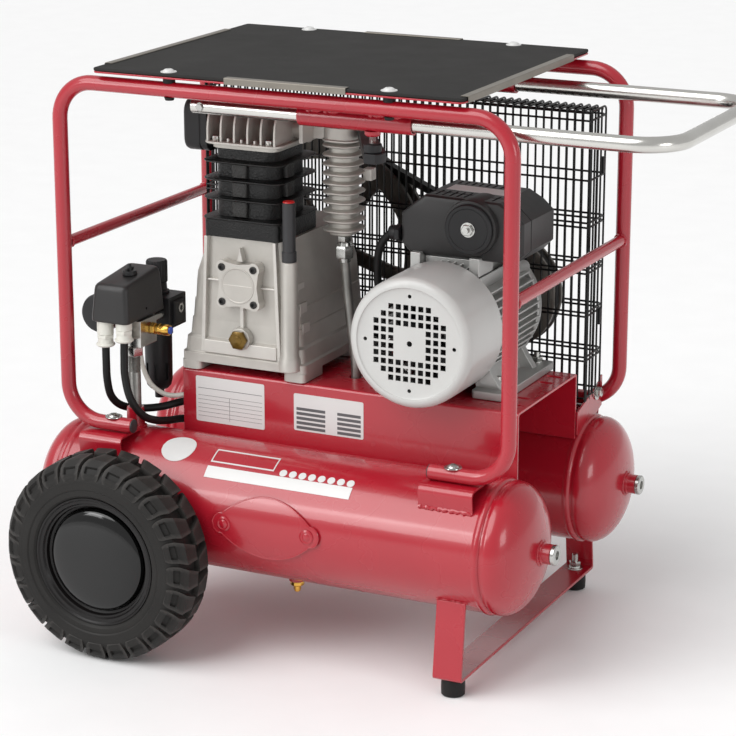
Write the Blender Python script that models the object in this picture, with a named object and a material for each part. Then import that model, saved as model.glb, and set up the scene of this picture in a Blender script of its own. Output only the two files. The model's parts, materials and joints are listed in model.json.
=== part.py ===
"""Portable belt-driven air compressor with twin hotdog tanks, in metres, +Z up.

All places are written from one reference point: the middle of the tube cage in X and Y, and the
centreline of the cage's lower tube ends in Z. The empty "reference" carries that point to its place
over the middle of the model's footprint, so that the model stands on Z = 0.
X runs towards the handle end, Y towards the belt guard.
"""
import math

import bmesh
import bpy
from mathutils import Matrix, Vector

GAP = 0.0003

# Cage of bent tube
TUBE = 0.009
CAGE_X = 0.288
CAGE_Y = 0.1753
CAGE_TOP = 0.412
CAGE_BEND = 0.045
LEFT_STUB_END = -0.199
RIGHT_STUB_END = 0.192
LEFT_CROSS_Z = 0.2163
RIGHT_CROSS_Z = 0.206
CROSS_TUBE = 0.007

# Tanks
TANK_R = 0.0783
TANK_Y = 0.138
TANK_Z = -0.0912
TANK_LEFT = -0.2936
TANK_RIGHT = 0.277
DOME = 0.039
TANK_WALL = 0.003
BOSS_R = 0.013
BOSS_END = 0.330

# Ground, wheels and leg
GROUND = -0.2594
WHEEL_R = 0.125
WHEEL_X = -0.1906
WHEEL_Z = GROUND + WHEEL_R
WHEEL_Y = 0.2555
LEG_X = 0.230
LEG_HALF = 0.018
FOOT_Y = 0.190
FOOT_TOP = GROUND + 0.022

# Platform: an inverted channel that carries the pump and the motor
PLATFORM_LEFT = -0.177
PLATFORM_RIGHT = 0.2647
PLATFORM_Y = 0.0918
PLATFORM_TOP = 0.0549
PLATFORM_FOOT = -0.0275
SHEET = 0.003

# Handle and its guides
HANDLE_Y = 0.147
HANDLE_Z = 0.391
HANDLE_LEFT = -0.1236
HANDLE_RIGHT = 0.459
HANDLE_BEND = 0.050
GUIDE_LEFT = 0.0155
GUIDE_RIGHT = 0.1576

# Pump
PUMP_X = -0.0935
CRANK_Z = 0.168
CYLINDER_Y = -0.042
THROW = 0.023
BORE_R = 0.0333
FEET_Z = PLATFORM_TOP + GAP

COOLER_X = 0.007
COOLER_Y = -0.020
BREATHER_X = -0.0288
BREATHER_Y = -0.0995

# Motor and belt drive
MOTOR_X = 0.148
MOTOR_Z = 0.135
DRIVE_Y = 0.140
FLYWHEEL_PITCH = 0.132
PULLEY_PITCH = 0.066
BELT_HALF_DEPTH = 0.0045
BELT_HALF_WIDTH = 0.0065

# Guard
GUARD_LEFT = -0.256
GUARD_RIGHT = 0.268
GUARD_BOTTOM = 0.012
GUARD_TOP = 0.372
GUARD_FRONT = 0.1125
GUARD_BACK = 0.164
WIRE = 0.0028

# Pressure switch group
RISER_X = -0.2176
RISER_Y = -0.138
REGULATOR_X = -0.232
REGULATOR_Y = -0.056
GAUGE_X = -0.306
GAUGE_Y = -0.065
GAUGE_Z = 0.103

# Routes of the leads that the frame holds, each point chosen by hand
LEAD_R = 0.0048
POWER_ROUTE = [
    (-0.2455, -0.157, 0.0895), (-0.2455, -0.157, 0.070), (-0.2455, -0.156, 0.048), (-0.2445, -0.150, 0.026),
    (-0.2390, -0.137, 0.011), (-0.2270, -0.117, 0.003), (-0.2080, -0.094, 0.001), (-0.1860, -0.075, 0.006),
    (-0.1600, -0.064, 0.012), (-0.1200, -0.060, 0.016), (-0.0600, -0.060, 0.018), (0.0000, -0.060, 0.018),
    (0.0700, -0.060, 0.016), (0.1400, -0.060, 0.014), (0.2100, -0.060, 0.014)]
MOTOR_ROUTE = [
    (-0.2195, -0.157, 0.0975), (-0.2195, -0.158, 0.080), (-0.2160, -0.163, 0.056), (-0.2070, -0.166, 0.030),
    (-0.1980, -0.154, 0.008), (-0.1930, -0.134, -0.003), (-0.1895, -0.108, -0.010),
    (-0.1830, -0.082, -0.014), (-0.1550, -0.063, -0.016), (-0.1000, -0.050, -0.016),
    (-0.0500, -0.042, -0.014), (0.0000, -0.036, -0.010),
    (0.0330, -0.028, 0.000), (0.0500, -0.018, 0.018), (0.0558, -0.0105, 0.045), (0.0560, -0.010, 0.080),
    (0.0530, -0.014, 0.130), (0.0520, -0.022, 0.180), (0.0570, -0.028, 0.212), (0.0670, -0.030, 0.2290),
    (0.0775, -0.030, 0.2355), (0.0855, -0.030, 0.2362)]
UNLOADER_R = 0.0030
UNLOADER_ROUTE = [
    (-0.2340, -0.100, 0.1150), (-0.2340, -0.100, 0.098), (-0.2330, -0.099, 0.074), (-0.2290, -0.098, 0.048),
    (-0.2190, -0.096, 0.028), (-0.2010, -0.092, 0.017), (-0.1800, -0.086, 0.018), (-0.1500, -0.078, 0.026),
    (-0.1100, -0.073, 0.032), (-0.0500, -0.071, 0.034), (0.0000, -0.066, 0.032), (0.0160, -0.056, 0.030)]


def clear_scene():
    for item in list(bpy.data.objects):
        bpy.data.objects.remove(item, do_unlink=True)


def finish_material(name, colour, roughness, metallic=0.0):
    material = bpy.data.materials.new(name)
    material.use_nodes = True
    shader = material.node_tree.nodes["Principled BSDF"]
    shader.inputs["Base Color"].default_value = (*colour, 1.0)
    shader.inputs["Roughness"].default_value = roughness
    shader.inputs["Metallic"].default_value = metallic
    material.diffuse_color = (*colour, 1.0)
    return material


def red_paint(name):
    return finish_material(name, (0.50, 0.02, 0.035), 0.28)


def black_plastic(name):
    return finish_material(name, (0.03, 0.03, 0.032), 0.45)


def rubber(name):
    return finish_material(name, (0.02, 0.02, 0.02), 0.75)


def cast_aluminium(name):
    return finish_material(name, (0.66, 0.65, 0.62), 0.42, 0.6)


def steel(name):
    return finish_material(name, (0.62, 0.62, 0.62), 0.30, 1.0)


def brass(name):
    return finish_material(name, (0.70, 0.46, 0.16), 0.32, 1.0)


def grey_enamel(name):
    return finish_material(name, (0.70, 0.70, 0.69), 0.35)


def place(item, material, location, parent):
    item.data.materials.clear()
    item.data.materials.append(material)
    item.location = location
    item.parent = parent
    bpy.context.scene.collection.objects.link(item)
    return item


def solid(name, mesh_builder, material, parent, location=(0, 0, 0), smooth=True):
    """Turn a bmesh into a named object with outward faces."""
    bmesh.ops.remove_doubles(mesh_builder, verts=mesh_builder.verts, dist=0.000002)
    bmesh.ops.recalc_face_normals(mesh_builder, faces=mesh_builder.faces)
    mesh = bpy.data.meshes.new(name)
    mesh_builder.to_mesh(mesh)
    mesh_builder.free()
    if smooth:
        mesh.shade_smooth()
        mesh.set_sharp_from_angle(angle=math.radians(35))
    return place(bpy.data.objects.new(name, mesh), material, location, parent)


def turn_axis(mesh_builder, axis):
    """Carry a shape turned about Z onto another axis, keeping it right-handed."""
    if axis == "X":
        turn = Matrix.Rotation(math.radians(90), 3, "Y")
    elif axis == "Y":
        turn = Matrix.Rotation(math.radians(-90), 3, "X")
    else:
        return
    bmesh.ops.rotate(mesh_builder, verts=mesh_builder.verts, cent=(0, 0, 0), matrix=turn)


def lathe(profile, steps, axis="Z", closed=False):
    """Spin a profile of (place along the axis, radius) points into a closed surface."""
    shape = bmesh.new()
    points = [shape.verts.new((radius, 0, along)) for along, radius in profile]
    edges = [shape.edges.new(pair) for pair in zip(points, points[1:])]
    if closed:
        edges.append(shape.edges.new((points[-1], points[0])))
    bmesh.ops.spin(shape, geom=points + edges, cent=(0, 0, 0), axis=(0, 0, 1), angle=math.tau, steps=steps)
    bmesh.ops.remove_doubles(shape, verts=shape.verts, dist=0.000002)
    turn_axis(shape, axis)
    return shape


def box(low, high):
    shape = bmesh.new()
    size = Vector(high) - Vector(low)
    middle = (Vector(high) + Vector(low)) / 2
    bmesh.ops.create_cube(shape, size=1.0, matrix=Matrix.Translation(middle) @ Matrix.Diagonal((*size, 1)))
    return shape


def prism(outline, low, high, axis="X"):
    """Extrude a flat outline along an axis. Its points are (y, z) for X, (x, z) for Y and (x, y) for Z."""
    spread = {"X": lambda a, b: (low, a, b), "Y": lambda a, b: (a, low, b),
              "Z": lambda a, b: (a, b, low)}[axis]
    step = {"X": (high - low, 0, 0), "Y": (0, high - low, 0), "Z": (0, 0, high - low)}[axis]
    shape = bmesh.new()
    face = shape.faces.new([shape.verts.new(spread(a, b)) for a, b in outline])
    made = bmesh.ops.extrude_face_region(shape, geom=[face])["geom"]
    bmesh.ops.translate(shape, verts=[v for v in made if isinstance(v, bmesh.types.BMVert)], vec=step)
    return shape


def loft(rings, ring_closed=False):
    """Join rings with equal point counts. The ends are capped unless the rings close on themselves."""
    shape = bmesh.new()
    loops = [[shape.verts.new(point) for point in ring] for ring in rings]
    count = len(loops[0])
    pairs = list(zip(loops, loops[1:]))
    if ring_closed:
        pairs.append((loops[-1], loops[0]))
    for first, second in pairs:
        for index in range(count):
            after = (index + 1) % count
            shape.faces.new((first[index], first[after], second[after], second[index]))
    if not ring_closed:
        shape.faces.new(loops[0])
        shape.faces.new(list(reversed(loops[-1])))
    return shape


def rounded_ring(centre_x, centre_y, half_x, half_y, corner, z, per_corner=4):
    """Points round a rectangle with round corners, at height z."""
    points = []
    for quarter, (sign_x, sign_y) in enumerate([(1, 1), (-1, 1), (-1, -1), (1, -1)]):
        for index in range(per_corner):
            angle = math.radians(90 * quarter + 90 * (index + 0.5) / per_corner)
            points.append((centre_x + sign_x * (half_x - corner) + corner * math.cos(angle),
                           centre_y + sign_y * (half_y - corner) + corner * math.sin(angle), z))
    return points


def round_ring(centre_x, centre_y, radius, z, count):
    points = []
    for index in range(count):
        angle = math.tau * (index + 0.5) / count
        points.append((centre_x + radius * math.cos(angle), centre_y + radius * math.sin(angle), z))
    return points


def tube(name, points, radius, material, parent, resolution=2):
    """A solid round bar along straight runs between the points."""
    curve = bpy.data.curves.new(name, "CURVE")
    curve.dimensions = "3D"
    curve.bevel_depth = radius
    curve.bevel_resolution = resolution
    curve.use_fill_caps = True
    spline = curve.splines.new("POLY")
    spline.points.add(len(points) - 1)
    for target, point in zip(spline.points, points):
        target.co = (*point, 1)
    return place(bpy.data.objects.new(name, curve), material, (0, 0, 0), parent)


def bent_path(corners, bend, steps):
    """Straight runs between the corners, joined by arcs of the given bend radius."""
    path = [Vector(corners[0])]
    for before, corner, after in zip(corners, corners[1:], corners[2:]):
        corner = Vector(corner)
        back = (Vector(before) - corner).normalized()
        ahead = (Vector(after) - corner).normalized()
        half = back.angle(ahead) / 2
        reach = bend / math.tan(half)
        middle = corner + (back + ahead).normalized() * bend / math.sin(half)
        start = corner + back * reach - middle
        end = corner + ahead * reach - middle
        for index in range(steps + 1):
            path.append(middle + start.slerp(end, index / steps) * bend)
    path.append(Vector(corners[-1]))
    return path


def smooth_route(points, spacing):
    """Evenly spaced points on a Catmull-Rom curve through the route's own points."""
    ends = [Vector(points[0]) * 2 - Vector(points[1])] + [Vector(p) for p in points]
    ends.append(Vector(points[-1]) * 2 - Vector(points[-2]))
    dense = []
    for a, b, c, d in zip(ends, ends[1:], ends[2:], ends[3:]):
        for index in range(24):
            t = index / 24
            dense.append(0.5 * (2 * b + (c - a) * t + (2 * a - 5 * b + 4 * c - d) * t ** 2
                                + (3 * b - a - 3 * c + d) * t ** 3))
    dense.append(Vector(points[-1]))
    travelled = [0.0]
    for first, second in zip(dense, dense[1:]):
        travelled.append(travelled[-1] + (second - first).length)
    count = max(2, round(travelled[-1] / spacing))
    path = []
    place_at = 0
    for index in range(count + 1):
        goal = travelled[-1] * index / count
        while place_at < len(travelled) - 2 and travelled[place_at + 1] < goal:
            place_at += 1
        share = (goal - travelled[place_at]) / (travelled[place_at + 1] - travelled[place_at])
        path.append(dense[place_at].lerp(dense[place_at + 1], min(1, share)))
    return path


def combine(target, tool, operation):
    """Use one solid to cut, or to add to, another."""
    tool.hide_render = True
    tool.display_type = "WIRE"
    modifier = target.modifiers.new(operation.lower(), "BOOLEAN")
    modifier.operation = operation
    modifier.solver = "EXACT"
    modifier.object = tool


def cut(target, shape, parent, name):
    combine(target, solid(name, shape, red_paint(name), parent, smooth=False), "DIFFERENCE")


def add(target, shape, parent, name):
    combine(target, solid(name, shape, red_paint(name), parent, smooth=False), "UNION")


def lattice(columns, depths, rows, filled):
    """Closed surface round the filled cells between the given planes in X, Y and Z."""
    shape = bmesh.new()
    corners = {}

    def corner(i, j, k):
        if (i, j, k) not in corners:
            corners[i, j, k] = shape.verts.new((columns[i], depths[j], rows[k]))
        return corners[i, j, k]

    sides = [((1, 0, 0), [(1, 0, 0), (1, 1, 0), (1, 1, 1), (1, 0, 1)]),
             ((-1, 0, 0), [(0, 0, 0), (0, 0, 1), (0, 1, 1), (0, 1, 0)]),
             ((0, 1, 0), [(0, 1, 0), (0, 1, 1), (1, 1, 1), (1, 1, 0)]),
             ((0, -1, 0), [(0, 0, 0), (1, 0, 0), (1, 0, 1), (0, 0, 1)]),
             ((0, 0, 1), [(0, 0, 1), (1, 0, 1), (1, 1, 1), (0, 1, 1)]),
             ((0, 0, -1), [(0, 0, 0), (0, 1, 0), (1, 1, 0), (1, 0, 0)])]
    for cell in filled:
        for step, offsets in sides:
            if tuple(c + s for c, s in zip(cell, step)) in filled:
                continue
            shape.faces.new([corner(*(c + o for c, o in zip(cell, offset))) for offset in offsets])
    return shape


def bar_planes(first, last, count):
    """Both faces of each of count + 1 evenly spaced bars."""
    planes = []
    for index in range(count + 1):
        start = first + (last - first - WIRE) * index / count
        planes += [start, start + WIRE]
    return planes


def make_tanks(root):
    for name, side in (("front_tank", -1), ("rear_tank", 1)):
        outer = []
        for index in range(6):
            angle = math.radians(90 * index / 5)
            outer.append((TANK_LEFT - DOME * math.cos(angle), TANK_R * math.sin(angle)))
        for index in range(5):
            angle = math.radians(90 * index / 5)
            outer.append((TANK_RIGHT + DOME * math.sin(angle), TANK_R * math.cos(angle)))
        seat = TANK_RIGHT + DOME * math.sqrt(1 - (BOSS_R / TANK_R) ** 2)
        mouth_r = 0.007
        inner_r = TANK_R - TANK_WALL
        inner_dome = DOME - TANK_WALL
        mouth = TANK_RIGHT + inner_dome * math.sqrt(1 - (mouth_r / inner_r) ** 2)
        profile = outer + [(seat, BOSS_R), (BOSS_END, BOSS_R), (BOSS_END, mouth_r), (mouth, mouth_r)]
        for index in range(1, 5):
            angle = math.radians(90 * index / 4)
            profile.append((TANK_RIGHT + inner_dome * math.cos(angle), inner_r * math.sin(angle)))
        for index in range(5):
            angle = math.radians(90 * index / 4)
            profile.append((TANK_LEFT - inner_dome * math.sin(angle), inner_r * math.cos(angle)))
        solid(name, lathe(profile, 24, "X"), red_paint(name), root, (0, side * TANK_Y, TANK_Z))
        screw = [(0, 0), (0, 0.0055), (-0.007, 0.0055), (-0.007, 0.0085), (-0.013, 0.0085),
                 (-0.013, 0.0035),
                 (-0.020, 0.0035), (-0.020, 0)]
        screw_name = name.replace("tank", "drain_screw")
        solid(screw_name, lathe(list(reversed(screw)), 12), brass(screw_name), root,
              (0.0017, side * TANK_Y, TANK_Z - TANK_R - GAP))


def make_platform(root):
    inner_y = PLATFORM_Y - SHEET
    inner_top = PLATFORM_TOP - SHEET
    outline = [(-PLATFORM_Y, PLATFORM_FOOT), (-inner_y, PLATFORM_FOOT), (-inner_y, inner_top),
               (inner_y, inner_top), (inner_y, PLATFORM_FOOT), (PLATFORM_Y, PLATFORM_FOOT),
               (PLATFORM_Y, PLATFORM_TOP), (-PLATFORM_Y, PLATFORM_TOP)]
    platform = solid("platform", prism(outline, PLATFORM_LEFT, PLATFORM_RIGHT), red_paint("platform"), root)
    for index, (x, y, radius) in enumerate([(0.031, -0.037, 0.0085), (0.0558, -0.0105, 0.0090)]):
        hole = lathe([(0.040, 0), (0.040, radius), (0.070, radius), (0.070, 0)], 12)
        bmesh.ops.translate(hole, verts=hole.verts, vec=(x, y, 0))
        cut(platform, hole, root, f"platform_hole_{index}")
    for index, y in enumerate((-0.066, 0.062)):
        slot = box((0.238, y - 0.004, 0.040), (0.256, y + 0.004, 0.070))
        cut(platform, slot, root, f"platform_slot_{index}")


def make_cage(root):
    for name, side in (("front_cage_tube", -1), ("rear_cage_tube", 1)):
        y = side * CAGE_Y
        corners = [(LEFT_STUB_END, y, 0), (-CAGE_X, y, 0), (-CAGE_X, y, CAGE_TOP), (CAGE_X, y, CAGE_TOP),
                   (CAGE_X, y, 0), (RIGHT_STUB_END, y, 0)]
        tube(name, bent_path(corners, CAGE_BEND, 4), TUBE, red_paint(name), root, resolution=3)
    reach = CAGE_Y - TUBE - GAP
    for name, x, z in (("left_cross_tube", -CAGE_X, LEFT_CROSS_Z),
                       ("right_cross_tube", CAGE_X, RIGHT_CROSS_Z)):
        tube(name, [(x, -reach, z), (x, reach, z)], CROSS_TUBE, red_paint(name), root, resolution=3)


def make_cage_brackets(root):
    """Bent sheet saddles between the tube ends and the tanks."""
    section = [(0.1500, -0.0096), (0.1910, -0.0096), (0.1962, -0.0135), (0.1985, -0.0215),
               (0.1955, -0.0375),
               (0.1925, -0.0343), (0.1953, -0.0220), (0.1938, -0.0152), (0.1900, -0.0126),
               (0.1500, -0.0126)]
    for side_name, side in (("front", -1), ("rear", 1)):
        for end_name, low, high in (("left", -0.262, -0.204), ("right", 0.187, 0.254)):
            name = f"{side_name}_{end_name}_cage_bracket"
            outline = [(side * y, z) for y, z in section]
            solid(name, prism(outline, low, high), red_paint(name), root, smooth=False)


def make_leg(root):
    outer = [(-0.1985, -0.1465), (-0.2095, FOOT_TOP), (0.2095, FOOT_TOP), (0.1985, -0.1465)]
    inner = [(0.1945, -0.1469), (0.2053, FOOT_TOP + 0.004), (-0.2053, FOOT_TOP + 0.004), (-0.1945, -0.1469)]
    solid("leg_strap", prism(outer + inner, LEG_X - LEG_HALF, LEG_X + LEG_HALF), red_paint("leg_strap"),
          root,
          smooth=False)
    height = FOOT_TOP - GROUND - GAP
    for name, side in (("front_foot", -1), ("rear_foot", 1)):
        profile = [(0, 0), (0, 0.0125), (height * 0.5, 0.0140), (height, 0.0130), (height, 0)]
        solid(name, lathe(profile, 16), rubber(name), root, (LEG_X, side * FOOT_Y, GROUND))


def make_wheels(root):
    for name, side in (("front", -1), ("rear", 1)):
        axle_name = f"{name}_wheel_axle"
        axle = solid(axle_name, box((WHEEL_X - 0.025, 0.195, WHEEL_Z - 0.028), (WHEEL_X + 0.025, 0.2192,
                     WHEEL_Z + 0.028)), red_paint(axle_name), root, smooth=False)
        saddle = lathe([(-0.26, 0), (-0.26, TANK_R + GAP), (-0.12, TANK_R + GAP), (-0.12, 0)], 48, "X")
        bmesh.ops.translate(saddle, verts=saddle.verts, vec=(0, TANK_Y, TANK_Z))
        cut(axle, saddle, root, f"{axle_name}_saddle")
        stub = lathe([(0.210, 0), (0.210, 0.0095), (0.2835, 0.0095), (0.2835, 0)], 16, "Y")
        bmesh.ops.translate(stub, verts=stub.verts, vec=(WHEEL_X, 0, WHEEL_Z))
        add(axle, stub, root, f"{axle_name}_stub")
        tyre_profile = [(-0.033, 0.0790), (-0.035, 0.0950), (-0.0345, 0.1100), (-0.028, 0.1215),
                        (-0.014, WHEEL_R),
                        (0.014, WHEEL_R), (0.028, 0.1215), (0.0345, 0.1100), (0.035, 0.0950),
                        (0.033, 0.0790)]
        tyre_name = f"{name}_tyre"
        centre = (WHEEL_X, side * WHEEL_Y, WHEEL_Z)
        solid(tyre_name, lathe(tyre_profile, 28, "Y", closed=True), rubber(tyre_name), root, centre)
        rim_profile = [(-0.030, 0.0100), (0.0262, 0.0100), (0.0262, 0.0170), (0.0030, 0.0190),
                       (0.0030, 0.0660),
                       (0.0260, 0.0715), (0.0300, 0.0785), (-0.0300, 0.0785), (-0.0260, 0.0715),
                       (-0.0030, 0.0660), (-0.0030, 0.0190), (-0.0300, 0.0170)]
        rim_profile = [(side * along, radius) for along, radius in rim_profile]
        rim_name = f"{name}_rim"
        solid(rim_name, lathe(rim_profile, 24, "Y", closed=True), black_plastic(rim_name), root, centre)
        if side < 0:
            for part in (axle, bpy.data.objects[f"{axle_name}_saddle"],
                         bpy.data.objects[f"{axle_name}_stub"]):
                mirror_y(part)


def mirror_y(item):
    """Mirror a mesh object across the XZ plane and turn its faces the right way out again."""
    shape = bmesh.new()
    shape.from_mesh(item.data)
    bmesh.ops.scale(shape, verts=shape.verts, vec=(1, -1, 1))
    bmesh.ops.reverse_faces(shape, faces=shape.faces)
    shape.to_mesh(item.data)
    shape.free()


def make_roof(root):
    sheet = [rounded_ring(0, 0, 0.2345, 0.189, 0.010, z, 2) for z in (0.4265, 0.4285)]
    solid("roof_sheet", loft(sheet), red_paint("roof_sheet"), root, smooth=False)
    mat = [rounded_ring(0, 0, 0.2335, 0.188, 0.006, z, 2) for z in (0.4288, 0.4326)]
    solid("roof_mat", loft(mat), rubber("roof_mat"), root, smooth=False)


def make_handle(root):
    corners = [(HANDLE_LEFT, -HANDLE_Y, HANDLE_Z), (HANDLE_RIGHT, -HANDLE_Y, HANDLE_Z),
               (HANDLE_RIGHT, HANDLE_Y, HANDLE_Z), (HANDLE_LEFT, HANDLE_Y, HANDLE_Z)]
    tube("handle", bent_path(corners, HANDLE_BEND, 5), TUBE, steel("handle"), root, resolution=3)
    for name, side in (("front_handle_guide", -1), ("rear_handle_guide", 1)):
        profile = [(GUIDE_LEFT, 0.0096), (GUIDE_LEFT, 0.0120), (GUIDE_RIGHT, 0.0120), (GUIDE_RIGHT, 0.0096)]
        solid(name, lathe(profile, 20, "X", closed=True), red_paint(name), root,
              (0, side * HANDLE_Y, HANDLE_Z))


def make_guard(root):
    """Two halves of a wire guard round the belt drive, with fewer and thicker wires than the real one."""
    columns = bar_planes(GUARD_LEFT, GUARD_RIGHT, 8)
    rows = bar_planes(GUARD_BOTTOM, GUARD_TOP, 4)
    last_column = len(columns) - 2
    last_row = len(rows) - 2
    wires = {(i, k) for i in range(last_column + 1) for k in range(last_row + 1)
             if i % 2 == 0 or k % 2 == 0}
    depths = [GUARD_FRONT, GUARD_FRONT + WIRE]
    front = {(i, 0, k) for i, k in wires}
    solid("front_guard_grille", lattice(columns, depths, rows, front), black_plastic("front_guard_grille"),
          root,
          smooth=False)

    depths = [GUARD_FRONT + WIRE + GAP, GUARD_FRONT + 2 * WIRE, GUARD_BACK - WIRE, GUARD_BACK]
    basket = {(i, 2, k) for i, k in wires}
    for i in range(last_column + 1):
        basket.add((i, 0, last_row))
        if i % 4 == 0:
            basket.add((i, 1, last_row))
    for k in range(last_row + 1):
        for i in (0, last_column):
            basket.add((i, 0, k))
            if k % 2 == 0:
                basket.add((i, 1, k))
    solid("rear_guard_basket", lattice(columns, depths, rows, basket), black_plastic("rear_guard_basket"),
          root,
          smooth=False)


def make_pump(root):
    foot = 0.084
    outline = [(-foot, FEET_Z), (foot, FEET_Z), (foot, 0.076), (0.080, 0.078), (0.079, 0.100),
               (0.067, 0.175),
               (0.054, 0.223), (-0.054, 0.223), (-0.067, 0.175), (-0.079, 0.100), (-0.080, 0.078),
               (-foot, 0.076)]
    outline = [(PUMP_X + x, z) for x, z in outline]
    case = solid("crankcase", prism(outline, -0.093, 0.090, "Y"), cast_aluminium("crankcase"), root)
    cut(case, box((PUMP_X - 0.0575, -0.10, 0.040), (PUMP_X + 0.0547, 0.10, 0.066)), root, "case_tunnel")
    cut(case, box((PUMP_X - 0.10, -0.0415, 0.040), (PUMP_X + 0.10, 0.036, 0.066)), root, "case_side_tunnel")
    cut(case, box((PUMP_X - 0.046, -0.084, 0.078), (PUMP_X + 0.046, 0.078, 0.214)), root, "case_hollow")
    spigot = lathe([(0.200, 0), (0.200, 0.0380), (0.230, 0.0380), (0.230, 0)], 24)
    bmesh.ops.translate(spigot, verts=spigot.verts, vec=(PUMP_X, CYLINDER_Y, 0))
    cut(case, spigot, root, "case_mouth")
    bore = lathe([(-0.100, 0), (-0.100, 0.024), (-0.070, 0.024), (-0.070, 0.016), (0.100, 0.016),
                  (0.100, 0)], 20, "Y")
    bmesh.ops.translate(bore, verts=bore.verts, vec=(PUMP_X, 0, CRANK_Z))
    cut(case, bore, root, "case_bores")
    nose = lathe([(0.0903 - 0.004, 0.0165), (0.108, 0.0165), (0.108, 0.026), (0.0903 - 0.004, 0.030)], 20,
                 "Y",
                 closed=True)
    bmesh.ops.translate(nose, verts=nose.verts, vec=(PUMP_X, 0, CRANK_Z))
    add(case, nose, root, "case_nose")

    boss = lathe([(0.0760, 0), (0.0760, 0.0115), (0.2030, 0.0100), (0.2030, 0)], 16)
    bmesh.ops.translate(boss, verts=boss.verts, vec=(BREATHER_X, BREATHER_Y, 0))
    add(case, boss, root, "case_breather_boss")

    cover_rings = []
    for y in (-0.0933, -0.1020):
        ring = rounded_ring(0, 0, 0.0285, 0.0285, 0.011, 0, 3)
        cover_rings.append([(PUMP_X + x, y, CRANK_Z + z) for x, z, _ in ring])
    solid("bearing_cover", loft(cover_rings), cast_aluminium("bearing_cover"), root, smooth=False)

    count = 16
    rings = []
    for half, z in ((0.0505, 0.2233), (0.0505, 0.2450), (0.0400, 0.2450)):
        rings.append(rounded_ring(PUMP_X, CYLINDER_Y, half, half, 0.010, z))
    for z in (0.2500, 0.2685, 0.2915, 0.3130):
        for half, height in ((0.0400, z), (0.0490, z), (0.0490, z + 0.0035), (0.0400, z + 0.0035)):
            rings.append(rounded_ring(PUMP_X, CYLINDER_Y, half, half, 0.012, height))
    rings.append(rounded_ring(PUMP_X, CYLINDER_Y, 0.0400, 0.0400, 0.012, 0.3290))
    rings.append(round_ring(PUMP_X, CYLINDER_Y, BORE_R, 0.3290, count))
    rings.append(round_ring(PUMP_X, CYLINDER_Y, BORE_R, 0.2233, count))
    iron = finish_material("cylinder_block", (0.02, 0.02, 0.022), 0.5, 0.3)
    solid("cylinder_block", loft(rings, ring_closed=True), iron, root)

    comb = [(-0.0515, 0.3293), (0.0515, 0.3293), (0.0515, 0.338)]
    for index in range(6):
        x = 0.0462 - index * 0.0176
        comb += [(x, 0.338), (x - 0.0006, 0.376), (x - 0.0034, 0.376), (x - 0.0040, 0.338)]
    comb.append((-0.0515, 0.338))
    comb = [(PUMP_X + x, z) for x, z in comb]
    solid("cylinder_head", prism(comb, CYLINDER_Y - 0.051, CYLINDER_Y + 0.051, "Y"),
          cast_aluminium("cylinder_head"), root, smooth=False)

    left = PUMP_X - 0.0515 - GAP
    rings = [rounded_ring(0.352, -0.050, 0.031, 0.030, 0.010, x, 3) for x in (left, left - 0.032)]
    rings = [[(x, y, z) for z, y, x in ring] for ring in rings]
    solid("intake_filter", loft(rings), black_plastic("intake_filter"), root)

    core = [COOLER_X, COOLER_Y, 0.0140, 0.0160, 0.0120]
    fin = [COOLER_X, COOLER_Y, 0.0230, 0.0250, 0.0135]
    rings = [rounded_ring(*core, 0.2265, 3)]
    for index in range(6):
        z = 0.2360 + index * 0.0190
        rings += [rounded_ring(*core, z, 3), rounded_ring(*fin, z, 3), rounded_ring(*fin, z + 0.0028, 3),
                  rounded_ring(*core, z + 0.0028, 3)]
    rings.append(rounded_ring(*core, 0.3430, 3))
    rings.append(rounded_ring(COOLER_X, COOLER_Y, 0.0180, 0.0200, 0.0120, 0.3430, 3))
    rings.append(rounded_ring(COOLER_X, COOLER_Y, 0.0180, 0.0200, 0.0120, 0.3520, 3))
    solid("aftercooler", loft(rings), cast_aluminium("aftercooler"), root)

    corners = [(0.0120, -0.030, 0.2250), (0.0130, -0.031, 0.195), (0.0260, -0.037, 0.110),
               (0.031, -0.037, 0.050),
               (0.031, -0.038, 0.005), (0.031, -0.068, -0.0440)]
    tube("delivery_pipe", bent_path(corners, 0.030, 4), 0.006, steel("delivery_pipe"), root, resolution=3)
    tube("breather_tube", [(BREATHER_X, BREATHER_Y, 0.2033), (BREATHER_X, BREATHER_Y, 0.2745)], 0.0062,
         black_plastic("breather_tube"), root, resolution=3)


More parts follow.
